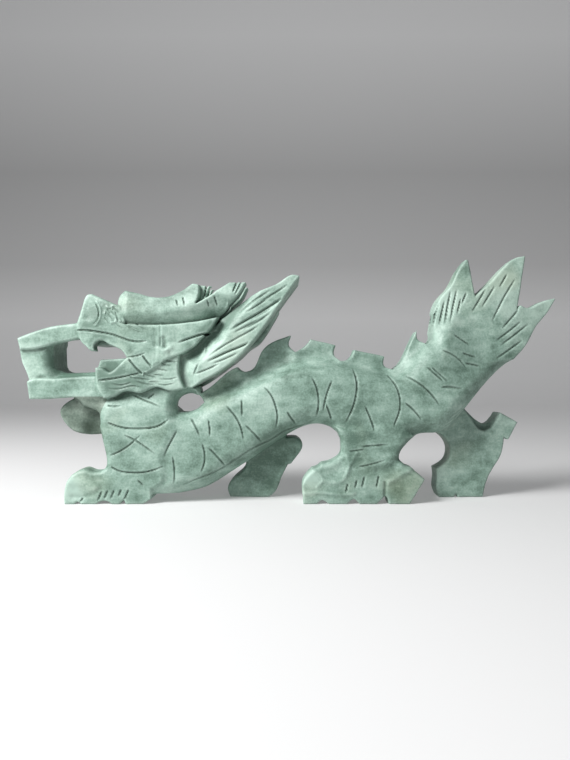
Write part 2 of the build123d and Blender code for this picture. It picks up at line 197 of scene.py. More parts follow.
def lay_even(region, half, radius, blend):
    """A slab form with the same face on both sides of the slab's middle."""
    def near(x, z, inward):
        return -(half(x, z, inward) if callable(half) else half)

    def far(x, z, inward):
        return half(x, z, inward) if callable(half) else half
    lay(region, near, far, radius, blend)


def cut_sides(sides):
    """The cut maps of the chosen sides of the slab."""
    return {"both": [near_cut, far_cut], "near": [near_cut], "far": [far_cut]}[sides]


def groove(points, width=1.2, depth=0.75, start=0.12, end=0.3, sides="both"):
    """A stroke of the wheel: a V across its width, fading towards its two ends."""
    line = smooth_line(points)
    x, z = window(line, width)
    away, along = line_distance(SHEET_X[x, None], SHEET_Z[None, z], line)
    fade = np.clip(np.minimum((along + 0.02) / start, (1.02 - along) / end), 0, 1) ** 0.6
    cut = depth * fade * np.clip(1 - 2 * away / width, 0, 1)
    for side in cut_sides(sides):
        side[x, z] = np.maximum(side[x, z], cut)


def hollow(points, width, depth, sides="both"):
    """A soft trough along a line, or a swell if the depth is less than nothing."""
    line = smooth_line(points)
    x, z = window(line, 2.2 * width)
    away, _ = line_distance(SHEET_X[x, None], SHEET_Z[None, z], line)
    for side in cut_sides(sides):
        side[x, z] += depth * np.exp(-(away / width) ** 2)


def unevenness(spacing, seed):
    """Slow random swells of up to one millimetre: values on a coarse lattice, eased along each axis."""
    dice = np.random.default_rng(seed)
    ticks = [SHEET_X, SHEET_Y, SHEET_Z]
    values = dice.uniform(-1, 1, [int((t[-1] - t[0]) / spacing) + 3 for t in ticks]).astype(np.float32)
    for axis, t in enumerate(ticks):
        place = (t - t[0]) / spacing
        cell = place.astype(int)
        shape = [1, 1, 1]
        shape[axis] = len(t)
        ease = rise(place - cell, 0, 1).astype(np.float32).reshape(shape)
        values = np.take(values, cell, axis) * (1 - ease) + np.take(values, cell + 1, axis) * ease
    return values


# ---- creases that two regions share ----
CREST_SEAM = [(-124.8, 104.8), (-118, 103.4), (-108, 103.2), (-99.8, 105)]
HORN_SEAM = [(-99.8, 105), (-93, 104.6), (-84, 104), (-72, 104.2), (-58, 105.6), (-42, 108.6)]
VALLEY = [(-42, 108.6), (-46, 102), (-51, 96.5), (-56, 91.4), (-62, 87.6)]
TUFT_HEM = [(-62, 87.6), (-70, 84.8), (-75.5, 82.4)]
CHEEK_HEM = [(-75.5, 82.4), (-80, 79.4), (-86, 75.8)]
CHEEK_LINE = [(-86, 75.8), (-95, 84.8)]
EAR_LINE = [(-75.5, 82.4), (-75.5, 104.05)]
SHOULDER_ARC = [(-110.6, 44.5), (-100, 43.2), (-88, 42.8), (-79, 44.2), (-72, 48.5)]
FLANK_ARC = [(38, 80.3), (39.6, 70), (37.6, 58), (33.6, 47.5), (30, 40)]
PLUME_ROOT = [(85.4, 100.4), (104, 104), (126, 96), (133, 84)]
ROOT_FRONT, ROOT_MIDDLE, ROOT_REAR, ROOT_END = PLUME_ROOT
FRONT_NOTCH, REAR_NOTCH = (110.2, 122.1), (135.6, 114.3)

# ---- runs of the body ----
BREAST = [(-106, 66), (-107.6, 60), (-111.3, 51), (-109.8, 38), (-106.9, 25.4), (-103.5, 9.5)]
CHEST_BELLY = [(-103.5, 9.5), (-90, 6.6), (-66, 4.8)]
NECK_HOLE = [(-66, 53), (-67.6, 56.6), (-66.4, 60.8), (-62.6, 63.4), (-57, 64)]
THROAT = [(-57, 64), (-54.8, 63.4), (-54.6, 68)]
TRUNK_BACK = [(-66, 53), (-60, 53.2), (-50, 59), (-30, 68.5), (-10, 77.5), (12, 83.3), (38, 80.3)]
TRUNK_BELLY = [(30, 40), (22, 44.8), (14, 45.9), (2, 41.6), (-18, 28.7), (-40, 14), (-52, 7.8), (-66, 4.8)]
RUMP_BACK = [(38, 80.3), (50, 77.6), (61.4, 75.4), (68, 79.4), (75, 87.4), (80.2, 92.6)]
RUMP_NOTCH = [(80.2, 92.6), (83, 93.8), (85.4, 100.4)]
TAIL_UNDERSIDE = [(133, 84), (124.2, 76.9), (116.3, 69.2), (105.5, 56.4), (97.7, 47.6), (92, 42.6),
                  (86, 40.3), (80.4, 40.3), (73, 38.2), (66.4, 32)]
THIGH = [(66.4, 32), (48, 36), (30, 40)]
ROOTS = [[PLUME_ROOT[i], PLUME_ROOT[i + 1]] for i in range(3)]
TAIL_REACH = [(133, 84), (138, 95), (134, 106), (123, 116), (110, 120), (99, 119), (90, 111), ROOT_FRONT]

# ---- regions of the head ----
FANG = [(-123.4, 97), (-121.4, 93.6), (-119.5, 92), (-117.9, 90.4), (-115.8, 88.9), (-113.6, 88.9)]
LIP_MIDDLE = [(-123.4, 97), (-120, 93.4), (-114, 92.6), (-106, 92.4), (-101, 90.8), (-97.6, 88.2),
              (-95, 84.8)]
LIP_SIDE = [(-113.6, 88.9), (-114.3, 91.2), (-113.3, 93.6), (-110.4, 94.9), (-107, 93.6), (-102.9, 91.6),
            (-98, 89.2), (-95, 84.8)]
EAR_TOP = [(-75.5, 104.05), (-84, 104), (-93, 104.6), (-99.8, 105)]
face = Region([(-124.8, 104.8), (-123.4, 97)], FANG, LIP_SIDE, CHEEK_LINE, CHEEK_HEM, EAR_LINE, EAR_TOP,
              CREST_SEAM)
face_middle = Region([(-124.8, 104.8), (-123.4, 97)], LIP_MIDDLE, CHEEK_LINE, CHEEK_HEM, EAR_LINE, EAR_TOP,
                     CREST_SEAM)
tuft = Region(EAR_LINE, [(-75.5, 104.05), (-58, 105.6), (-42, 108.6)], VALLEY, TUFT_HEM)
ear_lobe = Region([(-80, 80.4), (-80, 91)], [(-80, 91), (-71.4, 90.4)], [(-71.4, 90.4), (-70.4, 85.4)],
                  [(-70.4, 85.4), (-75.5, 83), (-80, 80.4)])
crown = Region([(-98, 103), (-98, 113)], [(-98, 113), (-74, 112), (-46, 114)], [(-46, 114), (-46, 103)],
               [(-46, 103), (-98, 103)])
CHIN = [(-108.5, 61.6), (-111.6, 66.6), (-113.2, 72), (-113.6, 79)]
JAW_BACK = [(-64, 90), (-65.4, 80), (-64.8, 74), (-62, 67.2)]
JAW_HEM = [(-62, 67.2), (-71, 65.9), (-79, 67.8), (-87, 64.6), (-96, 65.4), (-102, 62.4), (-108.5, 61.6)]
jaw = Region(CHIN, [(-113.6, 79), (-112, 84)], [(-112, 84), (-95, 84.8)], [(-95, 84.8), (-90, 90)],
             [(-90, 90), (-64, 90)], JAW_BACK, JAW_HEM)
jaw_side = Region(CHIN, [(-113.6, 79.2), (-110, 79.2), (-105.5, 76.6), (-101, 79.6), (-96, 84.2)],
                  [(-96, 84.2), (-90, 90)], [(-90, 90), (-64, 90)], JAW_BACK, JAW_HEM)
crest = Region([(-124.8, 104.8), (-123, 111), (-121, 119)], [(-121, 119), (-119.2, 121.8), (-116, 122.2)],
               [(-116, 122.2), (-112, 120.4), (-99, 114.6)],
               [(-99, 114.6), (-96.6, 111), (-96, 104)], [(-96, 104), (-108, 101), (-124, 101)],
               [(-124, 101), (-124.8, 104.8)])
first_tip_back = Region([(-53.6, 130), (-53.4, 122), (-54.8, 116.8)], [(-54.8, 116.8), (-45, 122.6)],
                        [(-45, 122.6), (-44, 130)], [(-44, 130), (-53.6, 130)])
horn = Region([(-100.6, 102), (-101, 114), (-100.2, 122), (-97.4, 124.8)],
              [(-97.4, 124.8), (-88, 122.2), (-78, 120.1), (-68, 122), (-57.6, 128.8)],
              [(-57.6, 128.8), (-46.5, 127.8)], [(-46.5, 127.8), (-50, 121.9), (-54.8, 117)],
              [(-54.8, 117), (-45, 122.8), (-36, 129)], [(-36, 129), (-25.8, 129.3)],
              [(-25.8, 129.3), (-30, 122), (-36, 115.6), (-42, 108.6)],
              [(-42, 108.6), (-50, 101), (-100.6, 102)])
mane = Region([(5.5, 132.4), (1, 133.2), (-5.7, 129.4), (-17.6, 123.9), (-26, 119.2)],
              [(-26, 119.2), (-34, 113), (-44, 104), (-54, 95), (-66, 88)],
              [(-66, 88), (-66, 67.6)], [(-66, 67.6), (-58, 67.4)],
              [(-58, 67.4), (-50, 72.2), (-41, 77.3), (-35, 81.5), (-28.5, 87.2), (-24, 92.4)],
              [(-24, 92.4), (-20.8, 95.8)], [(-20.8, 95.8), (-16.4, 101.6), (-4.8, 118.3), (5.5, 132.4)])
mane_back = Region([(-27, 90), (-18.6, 95.2), (-13.8, 101.8), (-6.5, 114.5)], [(-6.5, 114.5), (-22, 106)],
                   [(-22, 106), (-36, 90), (-27, 90)])
mane_hem_back = Region([(-62, 65.4), (-52.4, 69.2), (-45.4, 74.1), (-40.4, 78)], [(-40.4, 78), (-46, 84)],
                       [(-46, 84), (-62, 76)], [(-62, 76), (-62, 65.4)])

# ---- regions of the whisker loop ----
upper_whisker = Region([(-118, 106), (-133, 104.3), (-150, 100.5), (-160, 96.5)],
                       [(-160, 96.5), (-158.5, 89.6)],
                       [(-158.5, 89.6), (-150, 90), (-141.5, 92), (-124, 95.9)],
                       [(-124, 95.9), (-118, 98)], [(-118, 98), (-118, 106)])
whisker_web = Region([(-159.4, 93), (-158.2, 82.6), (-155.6, 76.6), (-153.4, 70)],
                     [(-153.4, 70), (-137, 71)],
                     [(-137, 71), (-139.6, 74.6), (-140.4, 80), (-140.8, 94)], [(-140.8, 94), (-159.4, 93)])
lower_whisker = Region([(-154.5, 71.2), (-152.9, 60.7)], [(-152.9, 60.7), (-138, 61.2), (-124.5, 62.4)],
                       [(-124.5, 62.4), (-106, 62.4)], [(-106, 62.4), (-108, 74.2)],
                       [(-108, 74.2), (-128, 73.8), (-142, 72.8), (-152, 72.4), (-154.5, 71.2)])
strap_ridge = Region([(-146, 66), (-146, 78)],
                     [(-146, 78), (-141.4, 78.2), (-136, 76.6), (-126, 76), (-112, 76.4)],
                     [(-112, 76.4), (-112, 66)], [(-112, 66), (-146, 66)])
loop_hole = Region([(-140.2, 80), (-140.6, 88), (-140, 97)], [(-140, 97), (-134, 98), (-127, 99)],
                   [(-127, 99), (-125.6, 96.2)], [(-125.6, 96.2), (-125.6, 84)], [(-125.6, 84), (-140.2, 80)])
chin_root = Region([(-124, 71), (-124.6, 62), (-121.6, 57)], [(-121.6, 57), (-108, 52)],
                   [(-108, 52), (-106, 71)], [(-106, 71), (-124, 71)])
beard = Region([(-126.7, 61.8), (-133.4, 58.4), (-137.2, 53.8), (-134.3, 46.6), (-128.3, 41.5), (-119, 39.2)],
               [(-119, 39.3), (-104, 39.6)], [(-104, 39.6), (-104, 66)], [(-104, 66), (-126.7, 66)],
               [(-126.7, 66), (-126.7, 61.8)])

# ---- regions of the body and the tail ----
chest = Region(BREAST, CHEST_BELLY, [(-66, 4.8), (-66, 53)], NECK_HOLE, THROAT, [(-54.6, 68), (-62, 72)],
               [(-62, 72), (-106, 66)])
trunk = Region(TRUNK_BACK, FLANK_ARC, TRUNK_BELLY, [(-66, 4.8), (-66, 53)])
rump = Region(RUMP_BACK, RUMP_NOTCH, *ROOTS, TAIL_UNDERSIDE, THIGH, FLANK_ARC[::-1])
body = Region(BREAST, CHEST_BELLY, TRUNK_BELLY[::-1], THIGH[::-1], TAIL_UNDERSIDE[::-1],
              TAIL_REACH, RUMP_NOTCH[::-1], RUMP_BACK[::-1], TRUNK_BACK[::-1],
              NECK_HOLE, THROAT, [(-54.6, 68), (-62, 72)], [(-62, 72), (-106, 66)])

neck_hole_back = Region([(-56, 54), (-66, 54), (-71.4, 56.6), (-72.2, 60.6), (-68, 63.6), (-58, 63.8)],
                        [(-58, 63.8), (-56, 54)])

FIN_RUNS = [
    [[(-54, 63.2), (-48.3, 67.5), (-42.2, 72.4), (-36.1, 77.3), (-32, 79.4)],
     [(-32, 79.4), (-29.6, 77.2), (-27, 76.4)],
     [(-27, 76.4), (-25, 66)], [(-25, 66), (-48, 54)], [(-48, 54), (-54, 63.2)]],
    [[(-27, 76.4), (-23.4, 77.6), (-17.7, 88.3), (-8.3, 95.7), (0.1, 98.6)],
     [(0.1, 98.6), (-1.2, 92.6), (2.8, 88.1)], [(2.8, 88.1), (3, 76)], [(3, 76), (-25, 66)],
     [(-25, 66), (-27, 76.4)]],
    [[(2.8, 88.1), (7.8, 91.3), (11.9, 96.6)], [(11.9, 96.6), (27.2, 92.9)],
     [(27.2, 92.9), (26.1, 86.2), (30.1, 82.7)], [(30.1, 82.7), (30, 74)], [(30, 74), (3, 76)],
     [(3, 76), (2.8, 88.1)]],
    [[(30.1, 82.7), (34.9, 84), (38.2, 90.1)], [(38.2, 90.1), (56.4, 86.2)],
     [(56.4, 86.2), (56.2, 80.2), (61.4, 77.6)], [(61.4, 77.6), (61, 70)], [(61, 70), (30, 74)],
     [(30, 74), (30.1, 82.7)]],
    [[(61.4, 77.6), (65.8, 81.1), (70.9, 92.1), (76.1, 102.3)],
     [(76.1, 102.3), (76.8, 96), (80.4, 93.4)], [(80.4, 93.4), (82, 84)], [(82, 84), (61, 70)],
     [(61, 70), (61.4, 77.6)]],
]
fins = [Region(*runs) for runs in FIN_RUNS]

PLUME_RUNS = {
    "front": [[ROOT_FRONT, (86.2, 112.8), (89.6, 121), (96, 128.7), (100.3, 137.2), (105.4, 144.3)],
              [(105.4, 144.3), (106.9, 144.3)], [(106.9, 144.3), (109, 130.5), FRONT_NOTCH],
              [FRONT_NOTCH, ROOT_MIDDLE], [ROOT_MIDDLE, ROOT_FRONT]],
    "middle": [[FRONT_NOTCH, (119, 129.8), (129, 140.6), (136, 145.8), (141.8, 147)],
               [(141.8, 147), (139.5, 133.6), REAR_NOTCH], [REAR_NOTCH, ROOT_REAR],
               [ROOT_REAR, ROOT_MIDDLE], [ROOT_MIDDLE, FRONT_NOTCH]],
    "rear": [[REAR_NOTCH, (137.9, 116.8), (140, 115.8), (150, 118.6), (160, 121.4)],
             [(160, 121.4), (155, 112.8), (147, 103.5), (141.4, 93.8), ROOT_END],
             [ROOT_END, ROOT_REAR], [ROOT_REAR, REAR_NOTCH]],
}
plumes = {place: Region(*runs) for place, runs in PLUME_RUNS.items()}
tail_fan = Region(PLUME_RUNS["front"][0], PLUME_RUNS["front"][1], PLUME_RUNS["front"][2],
                  PLUME_RUNS["middle"][0], PLUME_RUNS["middle"][1], PLUME_RUNS["rear"][0],
                  PLUME_RUNS["rear"][1], [ROOT_END, (118, 82)], [(118, 82), (92, 88)], [(92, 88), ROOT_FRONT])

# ---- regions of the legs ----
front_leg = Region([(-110.6, 44.5), (-109.2, 37), (-106.9, 25.4), (-107.7, 21.4), (-110.5, 18.9)],
                   [(-110.5, 18.9), (-115, 18.7), (-120.5, 20.2), (-127.2, 17)],
                   [(-127.2, 17), (-129.8, 12.8), (-131.4, 5), (-131, 0)], [(-131, 0), (-125.5, 0)],
                   [(-125.5, 0), (-123.7, 1.4), (-121.5, 0)], [(-121.5, 0), (-113, 0)],
                   [(-113, 0), (-110, 1.7), (-106.6, 1.7), (-103.8, 0)], [(-103.8, 0), (-99.5, 0)],
                   [(-99.5, 0), (-96.6, 2.2), (-95.7, 0)], [(-95.7, 0), (-85.6, 0)],
                   [(-85.6, 0), (-80.9, 3)], [(-80.9, 3), (-81, 9.3)],
                   [(-81, 9.3), (-75, 13), (-74.2, 27), (-70, 36), (-66.8, 42), (-72, 48.5)],
                   SHOULDER_ARC[::-1])
front_leg_back = Region([(-2.4, 36.9), (4.5, 36.4), (7.3, 33), (3.4, 24.2), (0.4, 20.3)],
                        [(0.4, 20.3), (-1.4, 20)], [(-1.4, 20), (-6.2, 10.4), (-9.6, 3), (-13.6, 0)],
                        [(-13.6, 0), (-37, 0)], [(-37, 0), (-38.4, 6), (-34, 12.6), (-28.4, 18), (-26, 28)],
                        [(-26, 28), (-25, 46)], [(-25, 46), (-4, 46)], [(-4, 46), (-2.4, 36.9)])
hind_leg = Region([(27, 44), (29.4, 36), (28.2, 29.5), (24, 25), (17.8, 23.8)],
                  [(17.8, 23.8), (10.4, 18), (6.8, 11), (7.2, 5), (7.4, 0)], [(7.4, 0), (15.3, 0)],
                  [(15.3, 0), (17.9, 2.2), (22, 0)], [(22, 0), (33, 0)], [(33, 0), (36.6, 2.8), (40, 0)],
                  [(40, 0), (50, 0)], [(50, 0), (55.8, 3.8), (57, 0)], [(57, 0), (69, 0)],
                  [(69, 0), (78.2, 14.2)], [(78.2, 14.2), (73, 18.6), (67.2, 22.2)],
                  [(67.2, 22.2), (63.6, 27.6), (67.4, 34.4), (72, 39)], [(72, 39), (60, 46)],
                  [(60, 46), (27, 44)])
hind_leg_back = Region([(104, 57), (109, 51.5), (112.2, 47.2), (115.7, 42.4), (119.4, 41), (123.7, 42.8)],
                       [(123.7, 42.8), (129, 51.9)], [(129, 51.9), (139.8, 46.1)],
                       [(139.8, 46.1), (134, 35.2)], [(134, 35.2), (131.4, 36.4)],
                       [(131.4, 36.4), (129.4, 25.8), (123.2, 15.5), (119.7, 5.6), (118.6, 0)],
                       [(118.6, 0), (103, 0)], [(103, 0), (102, 1.7), (100.6, 0)], [(100.6, 0), (91.4, 0)],
                       [(91.4, 0), (89.6, 6), (90.2, 11.6), (89.6, 17.5)],
                       [(89.6, 17.5), (96.9, 23), (98.2, 29.6), (94.6, 36.8), (87, 41.4)],
                       [(87, 41.4), (90, 57)], [(90, 57), (104, 57)])
saddle_back = Region([(104, 58), (110, 52.6), (115.6, 47.4), (121.4, 44.6), (127, 47)],
                     [(127, 47), (126, 38)], [(126, 38), (104, 44)], [(104, 44), (104, 58)])


# ---- how thick each form is ----
def body_half(x, z, inward):
    """Full across chest and trunk, drawn in under the jaw, thinning up the tail to its plumes."""
    neck = 3.8 * rise(z, 55, 64.5) * rise(-x, 40, 60)
    tail = 9.4 * rise(x + 0.6 * (z - 70), 84, 142)
    return 16.8 - neck - tail


def body_edge(x, z, inward):
    """Tight down the breast, a broad round over the trunk, less again on the tail."""
    return 4.4 + 8.2 * rise(x, -80, -60) - 4.6 * rise(x + 0.6 * (z - 70), 84, 125)


def face_half(x, z, inward):
    """Full at the cheek and a little narrower at the muzzle."""
    return 17.6 - 1.6 * rise(-x, 104, 128)


def crest_half(x, z, inward):
    """Leaning in from the muzzle to the top of the bulb."""
    return face_half(x, z, inward) - 0.11 * np.maximum(z - 106, 0)


def horn_face(x, z, inward):
    """Highest along a ledge, leaning in above it to the rim and below it to the foot."""
    ledge = np.minimum(111.0 + 0.007 * np.maximum(x + 84, 0) ** 2, 122.0)
    above = np.hypot(z - ledge, 2.0) - 2.0
    blunt = 1.6 * rise(-x, 95, 101)
    return -17.9 + np.where(z > ledge, 0.42, 0.62) * above + blunt


def horn_face_far(x, z, inward):
    """The same ledge on the other horn."""
    return -horn_face(x, z, inward)


hair_beside = np.minimum(np.minimum(tuft.distance, horn.distance), jaw.distance)


def mane_half(x, z, inward):
    """Sunk in a valley along the tuft and the horn, rising from it to the full slab at its outer edge."""
    beside = hair_beside[mane.near_x, mane.near_z]
    return 17.7 - 6.2 * (1 - rise(beside, 1.0, 11.0))


def beard_half(x, z, inward):
    """Thinner where it runs back under the chin."""
    return 8.9 - 3.6 * rise(x, -125, -115)


def tail_half(x, z, inward):
    """Thinning from the root of the plumes out to their tips."""
    return 9.0 - 4.8 * rise(np.hypot(x - 108, z - 94), 12, 58)


def web_edge(x, z, inward):
    """Crisp at the front, a broad round into the hole."""
    return 1.4 + 5.0 * rise(x, -153, -146)


def leg_face(x, z, inward):
    """Flush with the flank above, standing a little proud of it at the paw."""
    return -16.9 - 0.9 * (1 - rise(z, 14, 34))


def leg_edge(x, z, inward):
    """Crisp at the sole, rounder up the leg."""
    return 1.1 + 2.6 * rise(z, 10, 26)


def jaw_half(x, z, inward):
    """A little deeper where the hair lies behind the cheek."""
    return 17.6 - 1.5 * rise(x, -90, -78)


def carve_away(region, near, far, radius):
    """A slab form taken out of the stone, the other way round from laying one on."""
    part = (region.near_x, slice(None), region.near_z)
    across = region.distance[region.near_x, region.near_z][:, None, :]
    y = SHEET_Y[None, :, None]
    form = rounded(across, np.maximum(near - y, y - far), radius)
    stone[part] = -merged(-stone[part], form, 1.5)


lay_even(body, body_half, body_edge, 1.0)
lay(face_middle, -10.0, 17.2, 1.0, 1.0)
lay(face, lambda x, z, inward: -face_half(x, z, inward), -9.0, 1.1, 1.0)
lay_even(jaw, 12.4, 1.0, 1.0)
lay_even(jaw_side, jaw_half, 1.5, 0.8)
lay_even(crest, crest_half, 1.5, 0.3)
lay_even(crown, 5.0, 1.5, 1.0)
lay_even(tuft, 12.5, 1.0, 0.6)
lay(tuft, -17.8, -10.0, 1.2, 1.0)
lay(tuft, 10.0, 17.8, 1.2, 1.0)
lay(ear_lobe, -17.7, -10.0, 0.8, 1.5)
lay(ear_lobe, 10.0, 17.7, 0.8, 1.5)
lay(horn, horn_face, -5.0, 1.1, 0.8)
lay(horn, 5.0, horn_face_far, 1.1, 0.8)
carve_away(first_tip_back, -30.0, -9.5, 0.5)
carve_away(first_tip_back, 9.5, 30.0, 0.5)
lay_even(mane, mane_half, 1.0, 0.8)
lay(mane_back, 2.0, 17.6, 1.2, 1.5)
lay(mane_hem_back, 3.0, 17.4, 1.2, 1.5)
lay_even(upper_whisker, 15.0, 1.6, 1.5)
lay(whisker_web, -12.9, 0.0, web_edge, 1.2)
lay(whisker_web, -4.0, 14.8, 1.2, 1.5)
lay_even(lower_whisker, 15.0, 1.4, 1.5)
lay(strap_ridge, -7.0, 14.0, 4.0, 5.0)
carve_away(loop_hole, -9.0, 30.0, 3.0)
lay_even(beard, beard_half, 1.6, 1.5)
lay_even(chin_root, 14.4, 3.0, 5.0)
for fin in fins:
    lay_even(fin, 4.8, 1.2, 7.0)
lay_even(tail_fan, tail_half, 1.1, 2.5)
lay(front_leg, leg_face, -3.0, leg_edge, 3.0)
lay(hind_leg, leg_face, -3.0, leg_edge, 4.0)
lay(front_leg_back, 3.0, 18.0, 2.0, 3.0)
lay(hind_leg_back, 3.0, 18.0, 1.5, 3.0)
lay(saddle_back, 9.0, 18.0, 1.2, 3.0)
carve_away(neck_hole_back, -3.0, 30.0, 2.5)

# Fillets stop at the outline of the whole carving.
every_region = [face, face_middle, tuft, crown, jaw, crest, horn, mane, mane_back, mane_hem_back,
                upper_whisker, whisker_web, lower_whisker, strap_ridge, beard, body, tail_fan, front_leg,
                front_leg_back, hind_leg, hind_leg_back, saddle_back, *fins]
outside = np.minimum.reduce([region.distance for region in every_region])
FILLET_ROOM = 0.35
over = (outside > FILLET_ROOM)[:, None, :]
stone = np.where(over, np.maximum(stone, (outside - FILLET_ROOM)[:, None, :]), stone)

# ---- strokes cut in the head ----
groove([(-123.9, 100.9), (-118.5, 100.8), (-110.3, 99.7), (-103.3, 98.3), (-97.9, 96.4), (-93.1, 94.8),
        (-87.6, 94.2), (-83.8, 94.6)], 1.5, 1.1, 0.05, 0.15)
groove([(-113.6, 116.6), (-111.9, 113), (-111.5, 109.6), (-112.3, 106.6), (-114.4, 104.2)], 1.0, 0.6)
hollow([(-112.9, 117.4), (-110.9, 114.1), (-110.4, 110.2), (-111.2, 106.5), (-113.4, 103.6)], 0.65, -0.4)
hollow([(-118.6, 115), (-118, 108)], 2.6, 0.35)
groove([(-101.7, 111.5), (-99.6, 105.4)], 1.2, 0.6)
for knot in ([(-106.4, 114.4), (-103, 112.6)], [(-108, 110.6), (-105.2, 112)],
             [(-105.8, 108.6), (-102.4, 109.4)], [(-103.2, 115), (-100.4, 113)],
             [(-104.8, 105.4), (-101.6, 106)]):
    hollow(knot, 1.0, -0.55)
for stroke in ([(-106, 110.6), (-102.6, 106.6)], [(-104.4, 112), (-100.6, 108.6)],
               [(-102.4, 113.8), (-99.4, 110.8)], [(-108, 108.4), (-105, 105)],
               [(-106.4, 113), (-104.4, 110.4)], [(-99, 107.6), (-94, 103.4), (-88, 101)],
               [(-97, 105), (-92, 101.6), (-86.6, 99.4)], [(-101, 104.4), (-97, 101.6)],
               [(-90, 104.6), (-84, 101)]):
    groove(stroke, 0.9, 0.45)
groove([(-93.8, 84.2), (-90.9, 80.4), (-85.7, 75.3)], 1.4, 1.1, 0.1, 0.1)
groove([(-85.7, 86.2), (-83.2, 82.6), (-80.8, 80)], 1.4, 1.1, 0.1, 0.1)
groove([(-94.6, 85), (-92.2, 85.4), (-88.7, 86), (-84.3, 87.5)], 1.2, 0.8, 0.1, 0.3)
for stroke in ([(-104, 70), (-98, 69), (-92, 70.6)], [(-106, 67.2), (-99, 66.8), (-92, 68.4), (-86, 67.4)],
               [(-90, 71.6), (-84, 69.6), (-77, 69.4)], [(-80, 70.6), (-74, 69), (-67, 70.2)],
               [(-76, 72.6), (-70, 72.4), (-65.6, 73.6)]):
    groove(stroke, 1.1, 0.55, 0.3, 0.3)
groove([(-111, 71.8), (-103.9, 72.6), (-96.2, 74), (-87.6, 75.9)], 1.4, 1.0, 0.1, 0.1)
hollow([(-85.6, 75.3), (-80, 78.6), (-74, 82.2)], 0.8, -0.7)
for stroke in ([(-79.5, 75.1), (-73.8, 74.5)], [(-76.8, 78.4), (-71.3, 77.3)], [(-73.8, 81), (-69.2, 80.2)],
               [(-72.4, 83.4), (-65.9, 82.3)], [(-88.7, 72.9), (-81.6, 72)], [(-93.1, 73.7), (-87.6, 72.4)],
               [(-84, 75), (-78, 73.4)], [(-82, 71), (-76, 70.6)]):
    groove(stroke, 1.1, 0.6)
groove([(-64.9, 93.7), (-58.3, 96.2), (-51.9, 98.2), (-47.8, 99.2)], 1.7, 1.5, 0.3, 0.1)
hollow([(-78.6, 101), (-79, 84)], 1.5, 0.4)
hollow([(-73.6, 96), (-73, 92)], 1.5, 1.1)
hollow([(-71.6, 94), (-67, 94.4)], 1.6, 0.4)
hollow([(-73.4, 88.6), (-69.6, 90.6)], 1.4, -0.5)
for stroke in ([(-66.4, 118.4), (-65.4, 115.2)], [(-62.7, 120.1), (-61.4, 115.2)],
               [(-48.3, 118.2), (-47.5, 114.7)], [(-44.2, 120.6), (-42.7, 115.2)]):
    groove(stroke, 1.2, 0.9)
groove([(-49.7, 128), (-52, 118.6)], 1.3, 1.6, 0.05, 0.1)
groove([(-47.6, 127), (-50.4, 119.6)], 1.2, 1.2, 0.05, 0.1)
groove([(-31.4, 128.8), (-33.4, 123)], 1.4, 1.2, 0.05, 0.2)
groove([(-28.8, 128.8), (-32, 121.6)], 1.2, 1.0, 0.05, 0.2)

# ---- strokes cut in the mane ----
hollow([(-35, 118), (-46, 97.8), (-57.4, 75)], 1.0, -0.6)
groove([(-5.7, 118.8), (-11.7, 114.9), (-20, 109.8), (-27.2, 105.7), (-34.4, 101.2)], 2.0, 1.6, 0.1, 0.3)
groove([(-24.8, 93.2), (-29.6, 91.1), (-35.6, 88.7), (-41.5, 86), (-47.5, 83)], 2.0, 1.6, 0.1, 0.3)
for stroke in ([(-11.7, 123.9), (-17.6, 120.3), (-24.8, 115.5), (-29.6, 111.4)],
               [(-11.7, 120.3), (-18.8, 115.5), (-26, 111.1)], [(-18.8, 106.6), (-26, 103), (-32.5, 99.5)],
               [(-24.8, 99.5), (-33.1, 95), (-39.1, 91.6), (-47.5, 85.7)],
               [(-41.5, 81.3), (-47.5, 78.5), (-55.8, 75.3)], [(-53.5, 81.6), (-56.7, 74.2)],
               [(-2, 127), (-9, 122.4), (-17, 117.6)], [(-12, 110.6), (-19.6, 105.4), (-27, 101.4)],
               [(-19, 103), (-27, 98.4), (-34, 94.8)], [(-31, 87.4), (-38, 84.2), (-45, 81.4)],
               [(-8, 116), (-15, 111.4), (-23, 106.8)]):
    groove(stroke, 1.5, 0.9, 0.3, 0.3)

# ---- strokes cut in the chest and the near front leg ----
groove([(-105.6, 46.9), (-101.8, 45.5), (-96.3, 44.1), (-89.4, 43.7), (-82.2, 44), (-76.9, 45.2),
        (-71.1, 48.8)], 1.4, 1.0, 0.05, 0.1)
groove([(-103.5, 21.4), (-99.6, 19.5), (-95.3, 18.6), (-88.8, 18.3), (-83.3, 18.8), (-78, 20.2),
        (-74.1, 21.7)], 1.4, 1.0, 0.05, 0.2)
for stroke in ([(-104, 28.3), (-97.4, 31.4), (-91.5, 35.8), (-87.2, 39.8)],
               [(-95.8, 39.8), (-89.9, 36.9), (-84.4, 33.3), (-78.5, 29.2)],
               [(-66.1, 42.2), (-69.2, 36.6), (-71.7, 31.7), (-73.2, 27.9)],
               [(-68.4, 27.3), (-67.6, 22), (-67.3, 17.1), (-67.7, 11.9)],
               [(-91.5, 62.9), (-86.1, 60.4), (-79.6, 58), (-75.3, 56.1)], [(-83.3, 61.2), (-80.1, 64.2)],
               [(-106.5, 57.1), (-102.9, 56.6), (-98.8, 56.9)], [(-88.3, 13.8), (-85, 10.8)]):
    groove(stroke, 1.3, 0.85)
for stroke in ([(-109.4, 7.3), (-111.6, 2.1)], [(-105.9, 7.9), (-107.7, 3.5)], [(-102.1, 8.2), (-104, 3.5)],
               [(-98, 8.4), (-99.6, 4.9)], [(-93.7, 8.4), (-96.3, 2.7)], [(-120.3, 3.5), (-121.8, 1.3)]):
    groove(stroke, 1.6, 1.0, 0.2, 0.2)

